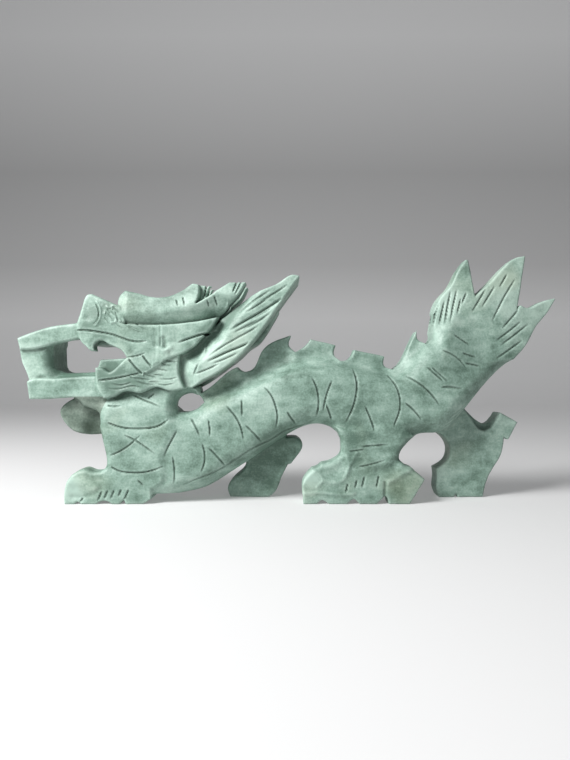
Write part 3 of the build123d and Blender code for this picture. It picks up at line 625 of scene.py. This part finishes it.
# ---- strokes cut in the trunk ----
hollow([(-49.4, 57.4), (-29.7, 66.2), (-14.9, 72), (0, 78)], 1.6, 0.4)
for stroke in ([(-37, 56.5), (-33.4, 52.5), (-30.3, 47.7), (-28.4, 43), (-27.3, 37.5)],
               [(-28.4, 60.1), (-28.1, 51.2)],
               [(-15.1, 67.7), (-11.3, 63.2), (-8.7, 56.9), (-7.6, 50.6), (-8.4, 44.9)],
               [(-25.9, 45.4), (-20.8, 40.4), (-17.3, 36.3)], [(-1.8, 53.3), (0.4, 49.9), (2.9, 46.7)],
               [(12.7, 73), (14.7, 68.8), (16.2, 62.5), (16.2, 56.2), (15, 50.6)],
               [(24.1, 71.4), (21.6, 65.1), (20, 59.4), (19.1, 54.3)], [(20.7, 57.8), (22.6, 53), (24, 48.6)],
               [(-47.7, 48.6), (-47, 44.2), (-46.8, 39.8)], [(-58.1, 49.3), (-54.9, 44.2), (-52.8, 39.8)],
               [(-51.2, 34.7), (-49.8, 29.1), (-50.2, 23.3), (-51.8, 18.6)],
               [(-47.3, 32.2), (-42.3, 27.1), (-38.2, 22)]):
    groove(stroke, 1.4, 0.95, 0.15, 0.2)
groove([(-61.9, 11.3), (-55.6, 13.9), (-49.3, 16.3), (-39.8, 20.8), (-17.7, 34.4), (-11.3, 37.2), (-5, 41.4),
        (1.3, 43.9), (7.7, 45.7), (14, 48.6)], 1.3, 0.6, 0.1, 0.1)

# ---- strokes cut in the rump and the hind legs ----
for stroke in ([(37, 77.9), (38.4, 71.6), (38.4, 65.4), (37, 58.4), (34.9, 52.8), (32.4, 47.6)],
               [(43.6, 56.3), (46, 50.7), (48, 45.1), (48.6, 42.4)],
               [(57.8, 74.4), (61.3, 68.8), (63.3, 62.5), (63.7, 56.3), (62, 50), (59.9, 45.1)],
               [(68, 74.1), (73.9, 70.5), (79.4, 66.1), (84.4, 60.4), (86.4, 57.7)],
               [(67, 58.4), (71.8, 54.2), (76, 49)], [(79.8, 79.3), (84.4, 75.1), (88.5, 71.6)]):
    groove(stroke, 1.4, 0.95, 0.15, 0.2)
groove([(87.8, 67.6), (92.8, 68.1), (98.7, 66.6)], 1.3, 0.8)
for stroke in ([(34.6, 30.5), (39.1, 31.1), (42.9, 31.6)], [(41.9, 33.3), (56.5, 34.4)],
               [(40.1, 21.7), (46, 22.8), (54.4, 25.2)]):
    groove(stroke, 1.3, 0.8)
for stroke in ([(33.1, 11.7), (32.1, 7.1)], [(38.4, 13.8), (37.5, 9.6)], [(42.9, 15.8), (41.4, 10)],
               [(51.2, 16.5), (49.8, 10)]):
    groove(stroke, 1.6, 1.0, 0.2, 0.2)

# ---- worn facets on the near hind paw ----
hollow([(17, 20.5), (24, 19), (28.4, 22), (29.6, 29)], 3.4, 1.0, "near")
hollow([(19.8, 13.8), (27.1, 12.8), (31.4, 15.4), (33.4, 20), (32.4, 28)], 1.3, -0.45, "near")
hollow([(38.6, 30.1), (34.3, 22.8), (31.6, 16.6)], 1.1, -0.3, "near")
hollow([(12.6, 20), (18.4, 14), (15.2, 10)], 0.9, -0.35, "near")
hollow([(8, 6.2), (16.2, 7), (25, 6), (36, 6)], 1.2, -0.5, "near")
hollow([(54.6, 4), (54.8, 12.6)], 1.0, 0.7, "near")
hollow([(56.4, 13), (61, 15.4), (66, 18.6), (70.4, 20.6)], 1.8, -0.8, "near")
hollow([(50.6, 20), (57, 20.6), (62, 24.6)], 2.8, 1.0, "near")

# ---- worn facets on the near front paw ----
hollow([(-127.6, 13), (-121, 12.4), (-114, 9)], 2.6, -0.7, "near")
hollow([(-126, 4.6), (-117, 5.2), (-110, 9)], 1.8, 0.5, "near")
hollow([(-117, 16.6), (-110, 15)], 2.2, 0.6, "near")

# ---- strokes cut in the tail ----
for stroke in ([(91, 46.6), (97, 50.6), (103, 56)], [(93, 50.2), (99, 54.2), (104.4, 59.4)],
               [(90.4, 44.6), (96, 47.8)]):
    groove(stroke, 0.9, 0.4)

for stroke in ([(88.6, 118), (84.2, 102.8)], [(91.8, 118.7), (88.4, 105.1)],
               [(95.6, 124.7), (91.4, 105.8)], [(99.3, 125.5), (94.4, 106.5)],
               [(101.6, 120.2), (98.9, 111.5)], [(105, 123.9), (101.9, 117.2)],
               [(116.7, 126.3), (108, 112.7)], [(122.1, 127.8), (114.1, 115.7)],
               [(130, 135.3), (125.4, 127.8)], [(134.8, 132.2), (129.2, 123.9), (120.1, 107.4)],
               [(136, 113.5), (126.2, 102.9)], [(137.4, 106.6), (122.4, 95.3)],
               [(142, 105.2), (125, 92.6)], [(137.8, 95.3), (122.4, 84.7)]):
    groove(stroke, 1.5, 1.0, 0.25, 0.3)
for stroke in ([(96.7, 98.4), (105.8, 92.6)], [(101.6, 87.7), (109.9, 85.1)],
               [(89.1, 89.2), (95.2, 86.6), (99.7, 83.2), (103.1, 79.4)], [(103.1, 81.7), (111.8, 80.2)],
               [(82.4, 79), (91.4, 71.2)], [(87.7, 67.7), (100.5, 67)]):
    groove(stroke, 1.3, 0.8)

# ---- the stone as carved ----
near_side = rise(-SHEET_Y, 1.0, 4.0)[None, :, None]
far_side = rise(SHEET_Y, 1.0, 4.0)[None, :, None]
stone += near_cut[:, None, :] * near_side + far_cut[:, None, :] * far_side
stone += 0.22 * unevenness(11.0, 3) + 0.1 * unevenness(4.2, 8) + 0.04 * unevenness(1.8, 5)


# ---- the named pieces ----
def all_through(y):
    """Every depth of the slab."""
    return np.full_like(y, -FAR_OFF)


def near_of(level):
    """Only what is nearer than a level of y."""
    return lambda y: y - level


def far_of(level):
    """Only what is further than a level of y."""
    return lambda y: level - y


def middle_of(level):
    """Only what is within a level either side of the middle."""
    return lambda y: np.abs(y) - level


class Piece:
    """A named piece: its regions with the depths they hold, and the pieces it gives way to."""

    def __init__(self, *claims, gives_way=()):
        self.claims = claims
        self.gives_way = gives_way

    def claim(self, part_x, part_z):
        """Distance to the piece's own share of the stone, in a part of the sheet."""
        y = SHEET_Y[None, :, None]
        share = None
        for region, depths in self.claims:
            here = np.maximum(region.distance[part_x, part_z][:, None, :], depths(y))
            share = here if share is None else np.minimum(share, here)
        for name in self.gives_way:
            share = np.maximum(share, -pieces[name].claim(part_x, part_z))
        return share


pieces = {
    "skull": Piece((face, all_through), (face_middle, all_through), (tuft, middle_of(12.0)),
                   (crown, middle_of(5.0))),
    "cheek_tuft_near": Piece((tuft, near_of(-12.0)), gives_way=["skull"]),
    "cheek_tuft_far": Piece((tuft, far_of(12.0)), gives_way=["skull"]),
    "lower_jaw": Piece((jaw, all_through), gives_way=["skull", "cheek_tuft_near", "cheek_tuft_far"]),
    "nose_crest": Piece((crest, all_through), gives_way=["skull"]),
    "horn_near": Piece((horn, near_of(-4.5)), gives_way=["skull", "cheek_tuft_near"]),
    "horn_far": Piece((horn, far_of(4.5)), gives_way=["skull", "cheek_tuft_far"]),
    "mane": Piece((mane, all_through), gives_way=["skull", "lower_jaw", "horn_near", "horn_far",
                                                  "cheek_tuft_near", "cheek_tuft_far"]),
    "upper_whisker": Piece((upper_whisker, all_through), gives_way=["skull", "nose_crest"]),
    "whisker_web": Piece((whisker_web, all_through), gives_way=["upper_whisker"]),
    "lower_whisker": Piece((lower_whisker, all_through), gives_way=["whisker_web", "lower_jaw"]),
    "front_leg_near": Piece((front_leg, near_of(-2.0))),
    "chest": Piece((chest, all_through), gives_way=["lower_jaw", "mane", "front_leg_near"]),
    "beard": Piece((beard, all_through), gives_way=["lower_whisker", "lower_jaw", "chest", "front_leg_near"]),
    "trunk": Piece((trunk, all_through), gives_way=["chest", "front_leg_near"]),
    "rump": Piece((rump, all_through), gives_way=["trunk"]),
    "front_leg_far": Piece((front_leg_back, far_of(2.0)), gives_way=["trunk", "chest"]),
    "hind_leg_near": Piece((hind_leg, near_of(-2.0)), gives_way=["trunk", "rump"]),
    "hind_leg_far": Piece((hind_leg_back, far_of(2.0)), gives_way=["rump"]),
}
for number, fin in enumerate(fins, start=1):
    pieces[f"dorsal_fin_{number}"] = Piece((fin, all_through), gives_way=["trunk", "rump", "mane"])
for place, plume in plumes.items():
    pieces[f"tail_plume_{place}"] = Piece((plume, all_through), gives_way=["rump"])


def averaged(values, reach):
    """Each value averaged with its neighbours out to a reach, one axis after another."""
    for axis in range(3):
        wide = np.pad(values, [(reach + 1, reach) if a == axis else (0, 0) for a in range(3)], "edge")
        total = np.cumsum(wide, axis=axis, dtype=np.float64)
        count = values.shape[axis]
        ahead = np.take(total, np.arange(2 * reach + 1, 2 * reach + 1 + count), axis)
        behind = np.take(total, np.arange(count), axis)
        values = ((ahead - behind) / (2 * reach + 1)).astype(np.float32)
    return values


CORNERS = np.array([(i, j, k) for i in (0, 1) for j in (0, 1) for k in (0, 1)])
CELL_EDGES = [(a, b) for a in range(8) for b in range(a + 1, 8) if abs(CORNERS[a] - CORNERS[b]).sum() == 1]


def at_corners(values, cells):
    """The values at the eight corners of each cell."""
    spots = cells[:, None, :] + CORNERS[None]
    return values[spots[..., 0], spots[..., 1], spots[..., 2]]


def skin(field):
    """A closed skin where the field passes through nothing: one point in each cell that it crosses, at
    the mean of the crossings on the cell's edges, and a four-sided face across each grid edge whose two
    ends lie on different sides."""
    inside = field < 0
    size = np.array(field.shape) - 1
    count = sum(inside[i:size[0] + i, j:size[1] + j, k:size[2] + k].astype(np.int8) for i, j, k in CORNERS)
    crossed = (count > 0) & (count < 8)
    cells = np.argwhere(crossed)
    number = np.full(crossed.shape, -1, np.int64)
    number[crossed] = np.arange(len(cells))
    corner = at_corners(field, cells)
    total = np.zeros((len(cells), 3))
    crossings = np.zeros(len(cells))
    for a, b in CELL_EDGES:
        start, stop = corner[:, a], corner[:, b]
        changes = (start < 0) != (stop < 0)
        share = np.where(changes, start / np.where(changes, start - stop, 1), 0)
        total += (CORNERS[a] + share[:, None] * (CORNERS[b] - CORNERS[a])) * changes[:, None]
        crossings += changes
    within = total / crossings[:, None]
    faces = []
    for axis in range(3):
        steps = np.eye(3, dtype=int)
        u, v = steps[(axis + 1) % 3], steps[(axis + 2) % 3]
        first = [slice(1, -1)] * 3
        second = [slice(1, -1)] * 3
        first[axis], second[axis] = slice(0, -1), slice(1, None)
        low, high = inside[tuple(first)], inside[tuple(second)]
        edges = np.argwhere(low != high)
        outward = low[tuple(edges.T)]
        edges = edges + 1 - steps[axis]
        ring = np.stack([number[tuple((edges - step).T)] for step in (u + v, v, 0 * u, u)], axis=1)
        faces.append(np.where(outward[:, None], ring, ring[:, ::-1]))
    return cells, within, np.vstack(faces)


# Places where the surface is painted paler (more than nothing) or darker: x, z, how wide, how much. The dark
# run along the mane's valley below the horn is a painted shadow of the horn and tuft. The dark spots in the
# mouth, on the whisker web's inner wall and on the far foreleg are painted shade. The pale spots on the top
# of the front paw and on the front and middle plumes are painted highlight. The rest are paler and darker
# places in the stone itself.
TONE_AND_PAINTED_LIGHT_PATCHES = [(-125, 9, 7, 0.55), (94, 121, 12, 0.4), (126, 130, 14, 0.25), (-117, 109, 9, -0.3),
           (-100, 71, 9, -0.3), (-76, 74, 8, 0.15), (-99, 119, 6, 0.2), (50, 54, 20, -0.2),
           (12, 14, 7, 0.35), (31, 16, 5, 0.2), (-42, 82, 12, 0.3), (-16, 60, 16, 0.1),
           (-52, 26, 14, -0.2), (64, 30, 14, -0.2), (14, 74, 16, -0.15), (86, 98, 5, 0.35),
           (-113, 98, 8, -0.2), (-88, 92, 10, -0.1), (150, 116, 10, 0.1), (108, 72, 16, -0.15),
           (40, 5, 24, -0.2), (-95, 54, 12, 0.15), (-148, 82, 10, 0.15), (18, 88, 12, 0.15),
           (128, 48, 8, 0.3), (-105, 81, 5, -0.5), (-112, 92, 5, -0.2), (-60, 112, 12, 0.1),
           (72, 60, 14, 0.1), (-113, 111, 8, -0.25), (-95, 70, 10, -0.35), (-143, 84, 5, -0.6),
           (-126, 74, 8, -0.3), (-46, 102, 6, -0.35), (-30, 96, 9, 0.2), (90, 60, 12, 0.15),
           (-135, 67, 9, -0.3), (-140, 98, 10, -0.2), (-100, 71, 8, -0.2), (94, 124, 9, 0.25),
           (126, 130, 12, 0.25), (-12, 30, 12, -0.4), (-57, 89, 6, -0.5), (-49, 98, 7, -0.6),
           (-41, 106, 7, -0.6), (-33, 113, 7, -0.5)]


def paleness_and_painted_light(x, z):
    """How much paler or darker the surface is at places on the sheet, the stone's own tone and painted light
    and shade together: soft round swells added up.
    """
    return sum(much * np.exp(-((x - at_x) ** 2 + (z - at_z) ** 2) / wide ** 2)
               for at_x, at_z, wide, much in TONE_AND_PAINTED_LIGHT_PATCHES)


def slope(corner, within):
    """Which way the field rises fastest inside each cell, from its corner values."""
    rising = []
    for axis in range(3):
        u, v = (axis + 1) % 3, (axis + 2) % 3
        total = 0
        for a in range(8):
            weight = np.ones(len(within))
            for other in (u, v):
                weight = weight * (within[:, other] if CORNERS[a][other] else 1 - within[:, other])
            total = total + corner[:, a] * weight * (1 if CORNERS[a][axis] else -1)
        rising.append(total)
    return np.stack(rising, axis=1)


def carved_piece(name):
    """The skin of one piece: the stone's own surface over the piece's share, sinking below it, faster
    and faster, past the edge of that share."""
    claim_x, claim_z = zip(*[(region.near_x, region.near_z) for region, _ in pieces[name].claims])
    part_x = slice(min(s.start for s in claim_x), max(s.stop for s in claim_x))
    part_z = slice(min(s.start for s in claim_z), max(s.stop for s in claim_z))
    own = pieces[name].claim(part_x, part_z)
    others = np.full_like(own, FAR_OFF)
    for other, piece in pieces.items():
        if other != name and any(region.distance[part_x, part_z].min() < 1 for region, _ in piece.claims):
            others = np.minimum(others, piece.claim(part_x, part_z))
    past = np.maximum(own - others, 0)
    part = stone[part_x, :, part_z]
    field = part + past * (0.03 + past * (0.1 + 0.04 * past))
    for axis in range(3):
        for end in (0, -1):
            border = [slice(None)] * 3
            border[axis] = end
            field[tuple(border)] = np.maximum(field[tuple(border)], 0.3)
    cells, within, faces = skin(field)
    corner = at_corners(part, cells)
    normals = slope(corner, within) / STRETCH
    normals /= np.linalg.norm(normals, axis=1)[:, None] + 1e-9
    start = np.array([SHEET_X[part_x.start], SHEET_Y[0], SHEET_Z[part_z.start]])
    points = (start + (cells + within) * CELL - SHEET_LOW) * STRETCH + MODEL_LOW
    mesh = bpy.data.meshes.new(f"carved_{name}")
    mesh.vertices.add(len(points))
    mesh.vertices.foreach_set("co", points.astype(np.float32).ravel())
    mesh.loops.add(faces.size)
    mesh.loops.foreach_set("vertex_index", faces.astype(np.int32).ravel())
    mesh.polygons.add(len(faces))
    mesh.polygons.foreach_set("loop_start", np.arange(0, faces.size, 4, dtype=np.int32))
    mesh.update(calc_edges=True)
    mesh.polygons.foreach_set("use_smooth", np.ones(len(faces), bool))
    # The field smoothed minus itself: more than nothing on rounded edges, less than nothing in hollows and
    # cuts. The edge mask paints rounded edges paler, partly as rubbed wear and partly as a painted highlight.
    # The mask of hollows paints cuts and creases darker as painted shade. The third mask carries the painted
    # light and shade patches together with the stone's own paler and darker places.
    bulge = averaged(part, max(1, round(1.2 / CELL))) - part
    proud = at_corners(bulge, cells).mean(axis=1)
    on_sheet = start + (cells + within) * CELL
    masks = {"edge": np.clip(proud / 0.3, 0, 1), "crease_shade_mask": np.clip(-proud / 0.3, 0, 1),
             "tone_and_painted_light": paleness_and_painted_light(on_sheet[:, 0], on_sheet[:, 2])}
    for label, value in masks.items():
        mesh.attributes.new(label, "FLOAT", "POINT").data.foreach_set("value", value.astype(np.float32))
    mesh.normals_split_custom_set_from_vertices(normals)
    piece = bpy.data.objects.new(f"carved_{name}", mesh)
    bpy.context.scene.collection.objects.link(piece)
    return piece


# ---- the stone's finish, with painted light and shade ----
def add_node(tree, kind, spot, **values):
    """A node at a place in the tree, with its named sockets set."""
    node = tree.nodes.new(kind)
    node.location = spot
    for key, value in values.items():
        if key in node.inputs:
            node.inputs[key].default_value = value
        else:
            setattr(node, key, value)
    return node


def group(name, takes, gives):
    """A new shader group with its sockets, and the nodes that bring them in and out."""
    tree = bpy.data.node_groups.new(name, "ShaderNodeTree")
    for label, kind in takes:
        tree.interface.new_socket(label, in_out="INPUT", socket_type=kind)
    for label, kind in gives:
        tree.interface.new_socket(label, in_out="OUTPUT", socket_type=kind)
    return tree, add_node(tree, "NodeGroupInput", (-1600, 0)), add_node(tree, "NodeGroupOutput", (800, 0))


def noise(tree, place, spot, scale, detail, rough):
    """A noise of a given scale over the object's own coordinates."""
    node = add_node(tree, "ShaderNodeTexNoise", spot, Scale=scale, Detail=detail, Roughness=rough)
    tree.links.new(place, node.inputs["Vector"])
    return node.outputs["Fac"]


def worked(tree, operation, spot, *values):
    """A sum, product or the like of sockets and numbers."""
    node = add_node(tree, "ShaderNodeMath", spot, operation=operation)
    for socket, value in zip(node.inputs, values):
        if isinstance(value, (int, float)):
            socket.default_value = value
        else:
            tree.links.new(value, socket)
    return node.outputs[0]


def stone_tone_and_painted_light_group():
    """How pale the stone is from place to place: broad clouds, smaller patches, drawn-out wisps and a fine
    grain, added up round one half, with the painted light and shade patches of each place added on top."""
    tree, _, end = group("stone_tone_and_painted_light", [], [("Tone_and_painted_light", "NodeSocketFloat"), ("Stain", "NodeSocketFloat")])
    place = add_node(tree, "ShaderNodeTexCoord", (-1400, 0)).outputs["Object"]
    drawn = add_node(tree, "ShaderNodeMapping", (-1200, -400))
    drawn.inputs["Rotation"].default_value = (0, 0.5, 0)
    drawn.inputs["Scale"].default_value = (0.35, 1, 1)
    tree.links.new(place, drawn.inputs["Vector"])
    broad = noise(tree, place, (-1000, 300), 34.0, 3.0, 0.5)
    patches = noise(tree, place, (-1000, 0), 120.0, 5.0, 0.62)
    wisps = noise(tree, drawn.outputs["Vector"], (-1000, -400), 190.0, 4.0, 0.6)
    grain = noise(tree, place, (-1000, -700), 900.0, 2.0, 0.6)
    stains = noise(tree, place, (-1000, -1000), 21.0, 2.0, 0.5)
    total = 0.5
    for row, (layer, weight) in enumerate([(broad, 1.3), (patches, 0.95), (wisps, 0.9), (grain, 0.6)]):
        swing = worked(tree, "MULTIPLY_ADD", (-600, 200 - 200 * row), layer, weight, -weight / 2)
        total = worked(tree, "ADD", (-400 + 150 * row, 200), total, swing)
    tone_and_painted_light = add_node(tree, "ShaderNodeAttribute", (-200, 500), attribute_name="tone_and_painted_light").outputs["Fac"]
    tree.links.new(worked(tree, "ADD", (300, 200), total, tone_and_painted_light), end.inputs["Tone_and_painted_light"])
    stain = add_node(tree, "ShaderNodeMapRange", (200, -300))
    stain.inputs["From Min"].default_value = 0.6
    stain.inputs["From Max"].default_value = 0.78
    tree.links.new(stains, stain.inputs["Value"])
    tree.links.new(stain.outputs[0], end.inputs["Stain"])
    return tree


def wear_and_painted_light_group():
    """Rounded edges painted paler, partly rubbed wear and partly a painted highlight, and cuts and creases
    painted darker as painted shade: a colour in, a colour out.
    """
    tree, start, end = group("wear_and_painted_light", [("Stone", "NodeSocketColor"), ("Rubbed_and_highlight", "NodeSocketColor"),
                                      ("Crease_shade_colour", "NodeSocketColor")], [("Color", "NodeSocketColor")])
    place = add_node(tree, "ShaderNodeTexCoord", (-1400, -600)).outputs["Object"]
    edge = add_node(tree, "ShaderNodeAttribute", (-1000, 300), attribute_name="edge").outputs["Fac"]
    crease_shade_mask = add_node(tree, "ShaderNodeAttribute", (-1000, -100), attribute_name="crease_shade_mask").outputs["Fac"]
    patchy = noise(tree, place, (-1000, -600), 260.0, 4.0, 0.6)
    patchy = worked(tree, "MULTIPLY_ADD", (-700, -600), patchy, 1.8, -0.35)
    # Rounded edges made paler: rubbed wear together with a painted highlight.
    rubbed_and_highlight = worked(tree, "MULTIPLY", (-400, 300), worked(tree, "MULTIPLY", (-600, 300), edge, patchy), 0.5)
    # Painted shade: hollows and cuts darkened towards the shade colour.
    crease_shade_amount = worked(tree, "MULTIPLY", (-400, -100), crease_shade_mask, 0.8)
    lit = add_node(tree, "ShaderNodeMix", (0, 200), data_type="RGBA")
    cut = add_node(tree, "ShaderNodeMix", (300, 100), data_type="RGBA")
    tree.links.new(rubbed_and_highlight, lit.inputs[0])
    tree.links.new(start.outputs["Stone"], lit.inputs[6])
    tree.links.new(start.outputs["Rubbed_and_highlight"], lit.inputs[7])
    tree.links.new(crease_shade_amount, cut.inputs[0])
    tree.links.new(lit.outputs[2], cut.inputs[6])
    tree.links.new(start.outputs["Crease_shade_colour"], cut.inputs[7])
    tree.links.new(cut.outputs[2], end.inputs["Color"])
    return tree


def tool_mark_group():
    """Fine lapping marks and pits left by the wheel, as a bumped normal, with where the wax is duller."""
    tree, _, end = group("tool_marks", [], [("Normal", "NodeSocketVector"), ("Dull", "NodeSocketFloat")])
    place = add_node(tree, "ShaderNodeTexCoord", (-1400, 0)).outputs["Object"]
    drawn = add_node(tree, "ShaderNodeMapping", (-1200, 200))
    drawn.inputs["Rotation"].default_value = (0, 0.7, 0)
    drawn.inputs["Scale"].default_value = (0.15, 1, 1)
    tree.links.new(place, drawn.inputs["Vector"])
    marks = noise(tree, drawn.outputs["Vector"], (-900, 300), 900.0, 2.0, 0.5)
    pits = noise(tree, place, (-900, 0), 700.0, 3.0, 0.6)
    height = worked(tree, "MULTIPLY_ADD", (-500, 200), marks, 0.6, pits)
    bump = add_node(tree, "ShaderNodeBump", (0, 200), Strength=0.35, Distance=0.00035)
    tree.links.new(height, bump.inputs["Height"])
    tree.links.new(bump.outputs["Normal"], end.inputs["Normal"])
    tree.links.new(noise(tree, place, (-900, -400), 75.0, 3.0, 0.6), end.inputs["Dull"])
    return tree


STONE_TONE_AND_PAINTED_LIGHT, WEAR_AND_PAINTED_LIGHT, TOOL_MARKS = stone_tone_and_painted_light_group(), wear_and_painted_light_group(), tool_mark_group()


def jade_material(name, tones, rubbed_and_highlight, crease_shade_colour, stain, dull):
    """Waxy green stone: its tones from dark to pale, the paler colour of its rounded edges (rubbed wear and a
    painted highlight), the painted shade in its cuts and creases, its brown stain, and how dull the wax is."""
    material = bpy.data.materials.new(name)
    material.use_nodes = True
    tree = material.node_tree
    shader = tree.nodes["Principled BSDF"]
    tone = add_node(tree, "ShaderNodeGroup", (-1200, 200), node_tree=STONE_TONE_AND_PAINTED_LIGHT)
    wear_and_painted_light = add_node(tree, "ShaderNodeGroup", (-400, 200), node_tree=WEAR_AND_PAINTED_LIGHT)
    marks = add_node(tree, "ShaderNodeGroup", (-700, -300), node_tree=TOOL_MARKS)
    ramp = add_node(tree, "ShaderNodeValToRGB", (-1000, 200))
    ramp.color_ramp.elements[0].position = 0.15
    ramp.color_ramp.elements[0].color = (*tones[0], 1)
    ramp.color_ramp.elements[1].position = 0.88
    ramp.color_ramp.elements[1].color = (*tones[2], 1)
    ramp.color_ramp.elements.new(0.5).color = (*tones[1], 1)
    stained = add_node(tree, "ShaderNodeMix", (-600, 200), data_type="RGBA", blend_type="MULTIPLY")
    stained.inputs[7].default_value = (*stain, 1)
    rough = add_node(tree, "ShaderNodeMapRange", (-400, -200))
    rough.inputs["To Min"].default_value = dull - 0.12
    rough.inputs["To Max"].default_value = dull + 0.12
    tree.links.new(tone.outputs["Tone_and_painted_light"], ramp.inputs["Fac"])
    tree.links.new(tone.outputs["Stain"], stained.inputs[0])
    tree.links.new(ramp.outputs["Color"], stained.inputs[6])
    tree.links.new(stained.outputs[2], wear_and_painted_light.inputs["Stone"])
    wear_and_painted_light.inputs["Rubbed_and_highlight"].default_value = (*rubbed_and_highlight, 1)
    wear_and_painted_light.inputs["Crease_shade_colour"].default_value = (*crease_shade_colour, 1)
    tree.links.new(wear_and_painted_light.outputs["Color"], shader.inputs["Base Color"])
    tree.links.new(marks.outputs["Dull"], rough.inputs["Value"])
    tree.links.new(rough.outputs[0], shader.inputs["Roughness"])
    tree.links.new(marks.outputs["Normal"], shader.inputs["Normal"])
    shader.inputs["Specular IOR Level"].default_value = 0.4
    return material


JADES = {
    "jade_pale": jade_material("jade_pale", [(0.125, 0.2, 0.158), (0.25, 0.365, 0.302), (0.4, 0.53, 0.455)],
                               (0.6, 0.76, 0.68), (0.05, 0.075, 0.058), (0.9, 0.84, 0.76), 0.5),
    "jade_green": jade_material("jade_green", [(0.1, 0.17, 0.13), (0.22, 0.33, 0.272), (0.37, 0.5, 0.43)],
                                (0.55, 0.7, 0.62), (0.045, 0.068, 0.052), (0.86, 0.78, 0.68), 0.5),
    "jade_grey_painted_shade": jade_material("jade_grey_painted_shade", [(0.065, 0.095, 0.07), (0.12, 0.165, 0.132), (0.24, 0.3, 0.25)],
                               (0.45, 0.56, 0.49), (0.04, 0.055, 0.042), (0.85, 0.78, 0.7), 0.55),
}
PALE = {"skull", "nose_crest", "horn_near", "horn_far", "mane", "upper_whisker", "whisker_web", "lower_jaw",
        "tail_plume_front", "tail_plume_middle", "tail_plume_rear", "cheek_tuft_near", "cheek_tuft_far"}
# The beard takes the darkest material: painted shade under the lower whisker strap that hangs over it.
PAINTED_SHADE_GREY = {"beard"}

for name in pieces:
    piece = carved_piece(name)
    kind = "jade_pale" if name in PALE else "jade_grey_painted_shade" if name in PAINTED_SHADE_GREY else "jade_green"
    piece.data.materials.append(JADES[kind])
    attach(piece, "root")
    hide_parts(name)

# ---- floor, backdrop and light ----
span = cad_high.x - cad_low.x


def studio_sweep():
    """A pale floor that turns up into a backdrop, a profile carried sideways. The backdrop carries painted
    shading, grey in its middle and paler at its foot and its top, and the whole sweep glows a little with its
    own painted tones."""
    turn = np.linspace(0.1, math.pi / 2, 16)
    bend = np.stack([4.0 + np.sin(turn), 1 - np.cos(turn)], axis=1)
    profile = np.vstack([[(-4.0, 0), (4.0, 0)], bend, [(5.0, 8.0)]]) * span
    count = len(profile)
    points = [(x * span, y, z) for x in (-9, 9) for y, z in profile]
    quads = [(i, count + i, count + i + 1, i + 1) for i in range(count - 1)]
    mesh = bpy.data.meshes.new("studio_sweep")
    mesh.from_pydata(points, [], quads)
    mesh.polygons.foreach_set("use_smooth", np.ones(len(quads), bool))
    sweep = bpy.data.objects.new("studio_sweep", mesh)
    bpy.context.scene.collection.objects.link(sweep)
    material = bpy.data.materials.new("studio_paper_painted_light")
    material.use_nodes = True
    tree = material.node_tree
    shader = tree.nodes["Principled BSDF"]
    place = add_node(tree, "ShaderNodeTexCoord", (-900, 0))
    parts = add_node(tree, "ShaderNodeSeparateXYZ", (-700, 0))
    height = add_node(tree, "ShaderNodeMapRange", (-500, 0))
    height.inputs["From Max"].default_value = 1.5
    tones = add_node(tree, "ShaderNodeValToRGB", (-300, 0))
    # Painted shading on the backdrop: grey in the middle of its height, paler at its foot and top.
    painted_shading_stops = [(0.0, 0.6), (0.06, 0.62), (0.18, 0.62), (0.3, 0.46), (0.5, 0.4), (0.8, 0.66)]
    for spot, tone in painted_shading_stops[1:-1]:
        tones.color_ramp.elements.new(spot).color = (tone, tone, tone, 1)
    tones.color_ramp.elements[0].color = (painted_shading_stops[0][1],) * 3 + (1,)
    tones.color_ramp.elements[-1].position = painted_shading_stops[-1][0]
    tones.color_ramp.elements[-1].color = (painted_shading_stops[-1][1],) * 3 + (1,)
    tree.links.new(place.outputs["Object"], parts.inputs[0])
    tree.links.new(parts.outputs["Z"], height.inputs["Value"])
    tree.links.new(height.outputs[0], tones.inputs["Fac"])
    tree.links.new(tones.outputs["Color"], shader.inputs["Base Color"])
    # Painted glow: the floor and backdrop give off light in their own painted tones.
    tree.links.new(tones.outputs["Color"], shader.inputs["Emission Color"])
    shader.inputs["Emission Strength"].default_value = 0.3
    shader.inputs["Roughness"].default_value = 0.9
    mesh.materials.append(material)


studio_sweep()


def soft_light(name, away, direction, size, power):
    """A square soft light, so far from the dragon in a direction, and turned to it."""
    lamp = bpy.data.lights.new(name, "AREA")
    lamp.shape = "SQUARE"
    lamp.size = size
    lamp.energy = power
    light = bpy.data.objects.new(name, lamp)
    bpy.context.scene.collection.objects.link(light)
    towards = Vector(direction).normalized()
    light.location = middle + towards * away
    light.rotation_euler = towards.to_track_quat("Z", "Y").to_euler()


middle = (cad_low + cad_high) / 2
soft_light("window", 0.85, (-0.64, -0.5, 0.6), 0.36, 12.0)
soft_light("room", 1.6, (0.5, -0.9, 0.35), 1.2, 0.9)
world = bpy.data.worlds.new("studio")
bpy.context.scene.world = world
world.use_nodes = True
world.node_tree.nodes["Background"].inputs["Color"].default_value = (0.92, 0.95, 1.0, 1)
world.node_tree.nodes["Background"].inputs["Strength"].default_value = 0.1
bpy.context.scene.view_settings.view_transform = "Standard"

# ---- camera ----
CAMERA_LENS = 28.42
CAMERA_AWAY = 0.365                     # in front of the slab's middle
CAMERA_LEFT = 0.0033                    # towards the head
CAMERA_LOWER = 0.0015                   # than the middle of the dragon's height
camera = bpy.data.cameras.new("camera")
camera.lens = CAMERA_LENS
camera.sensor_width = 36
viewer = bpy.data.objects.new("camera", camera)
bpy.context.scene.collection.objects.link(viewer)
viewer.location = (middle.x - CAMERA_LEFT, middle.y - CAMERA_AWAY, middle.z - CAMERA_LOWER)
viewer.rotation_euler = (math.pi / 2, 0, 0)
bpy.context.scene.camera = viewer
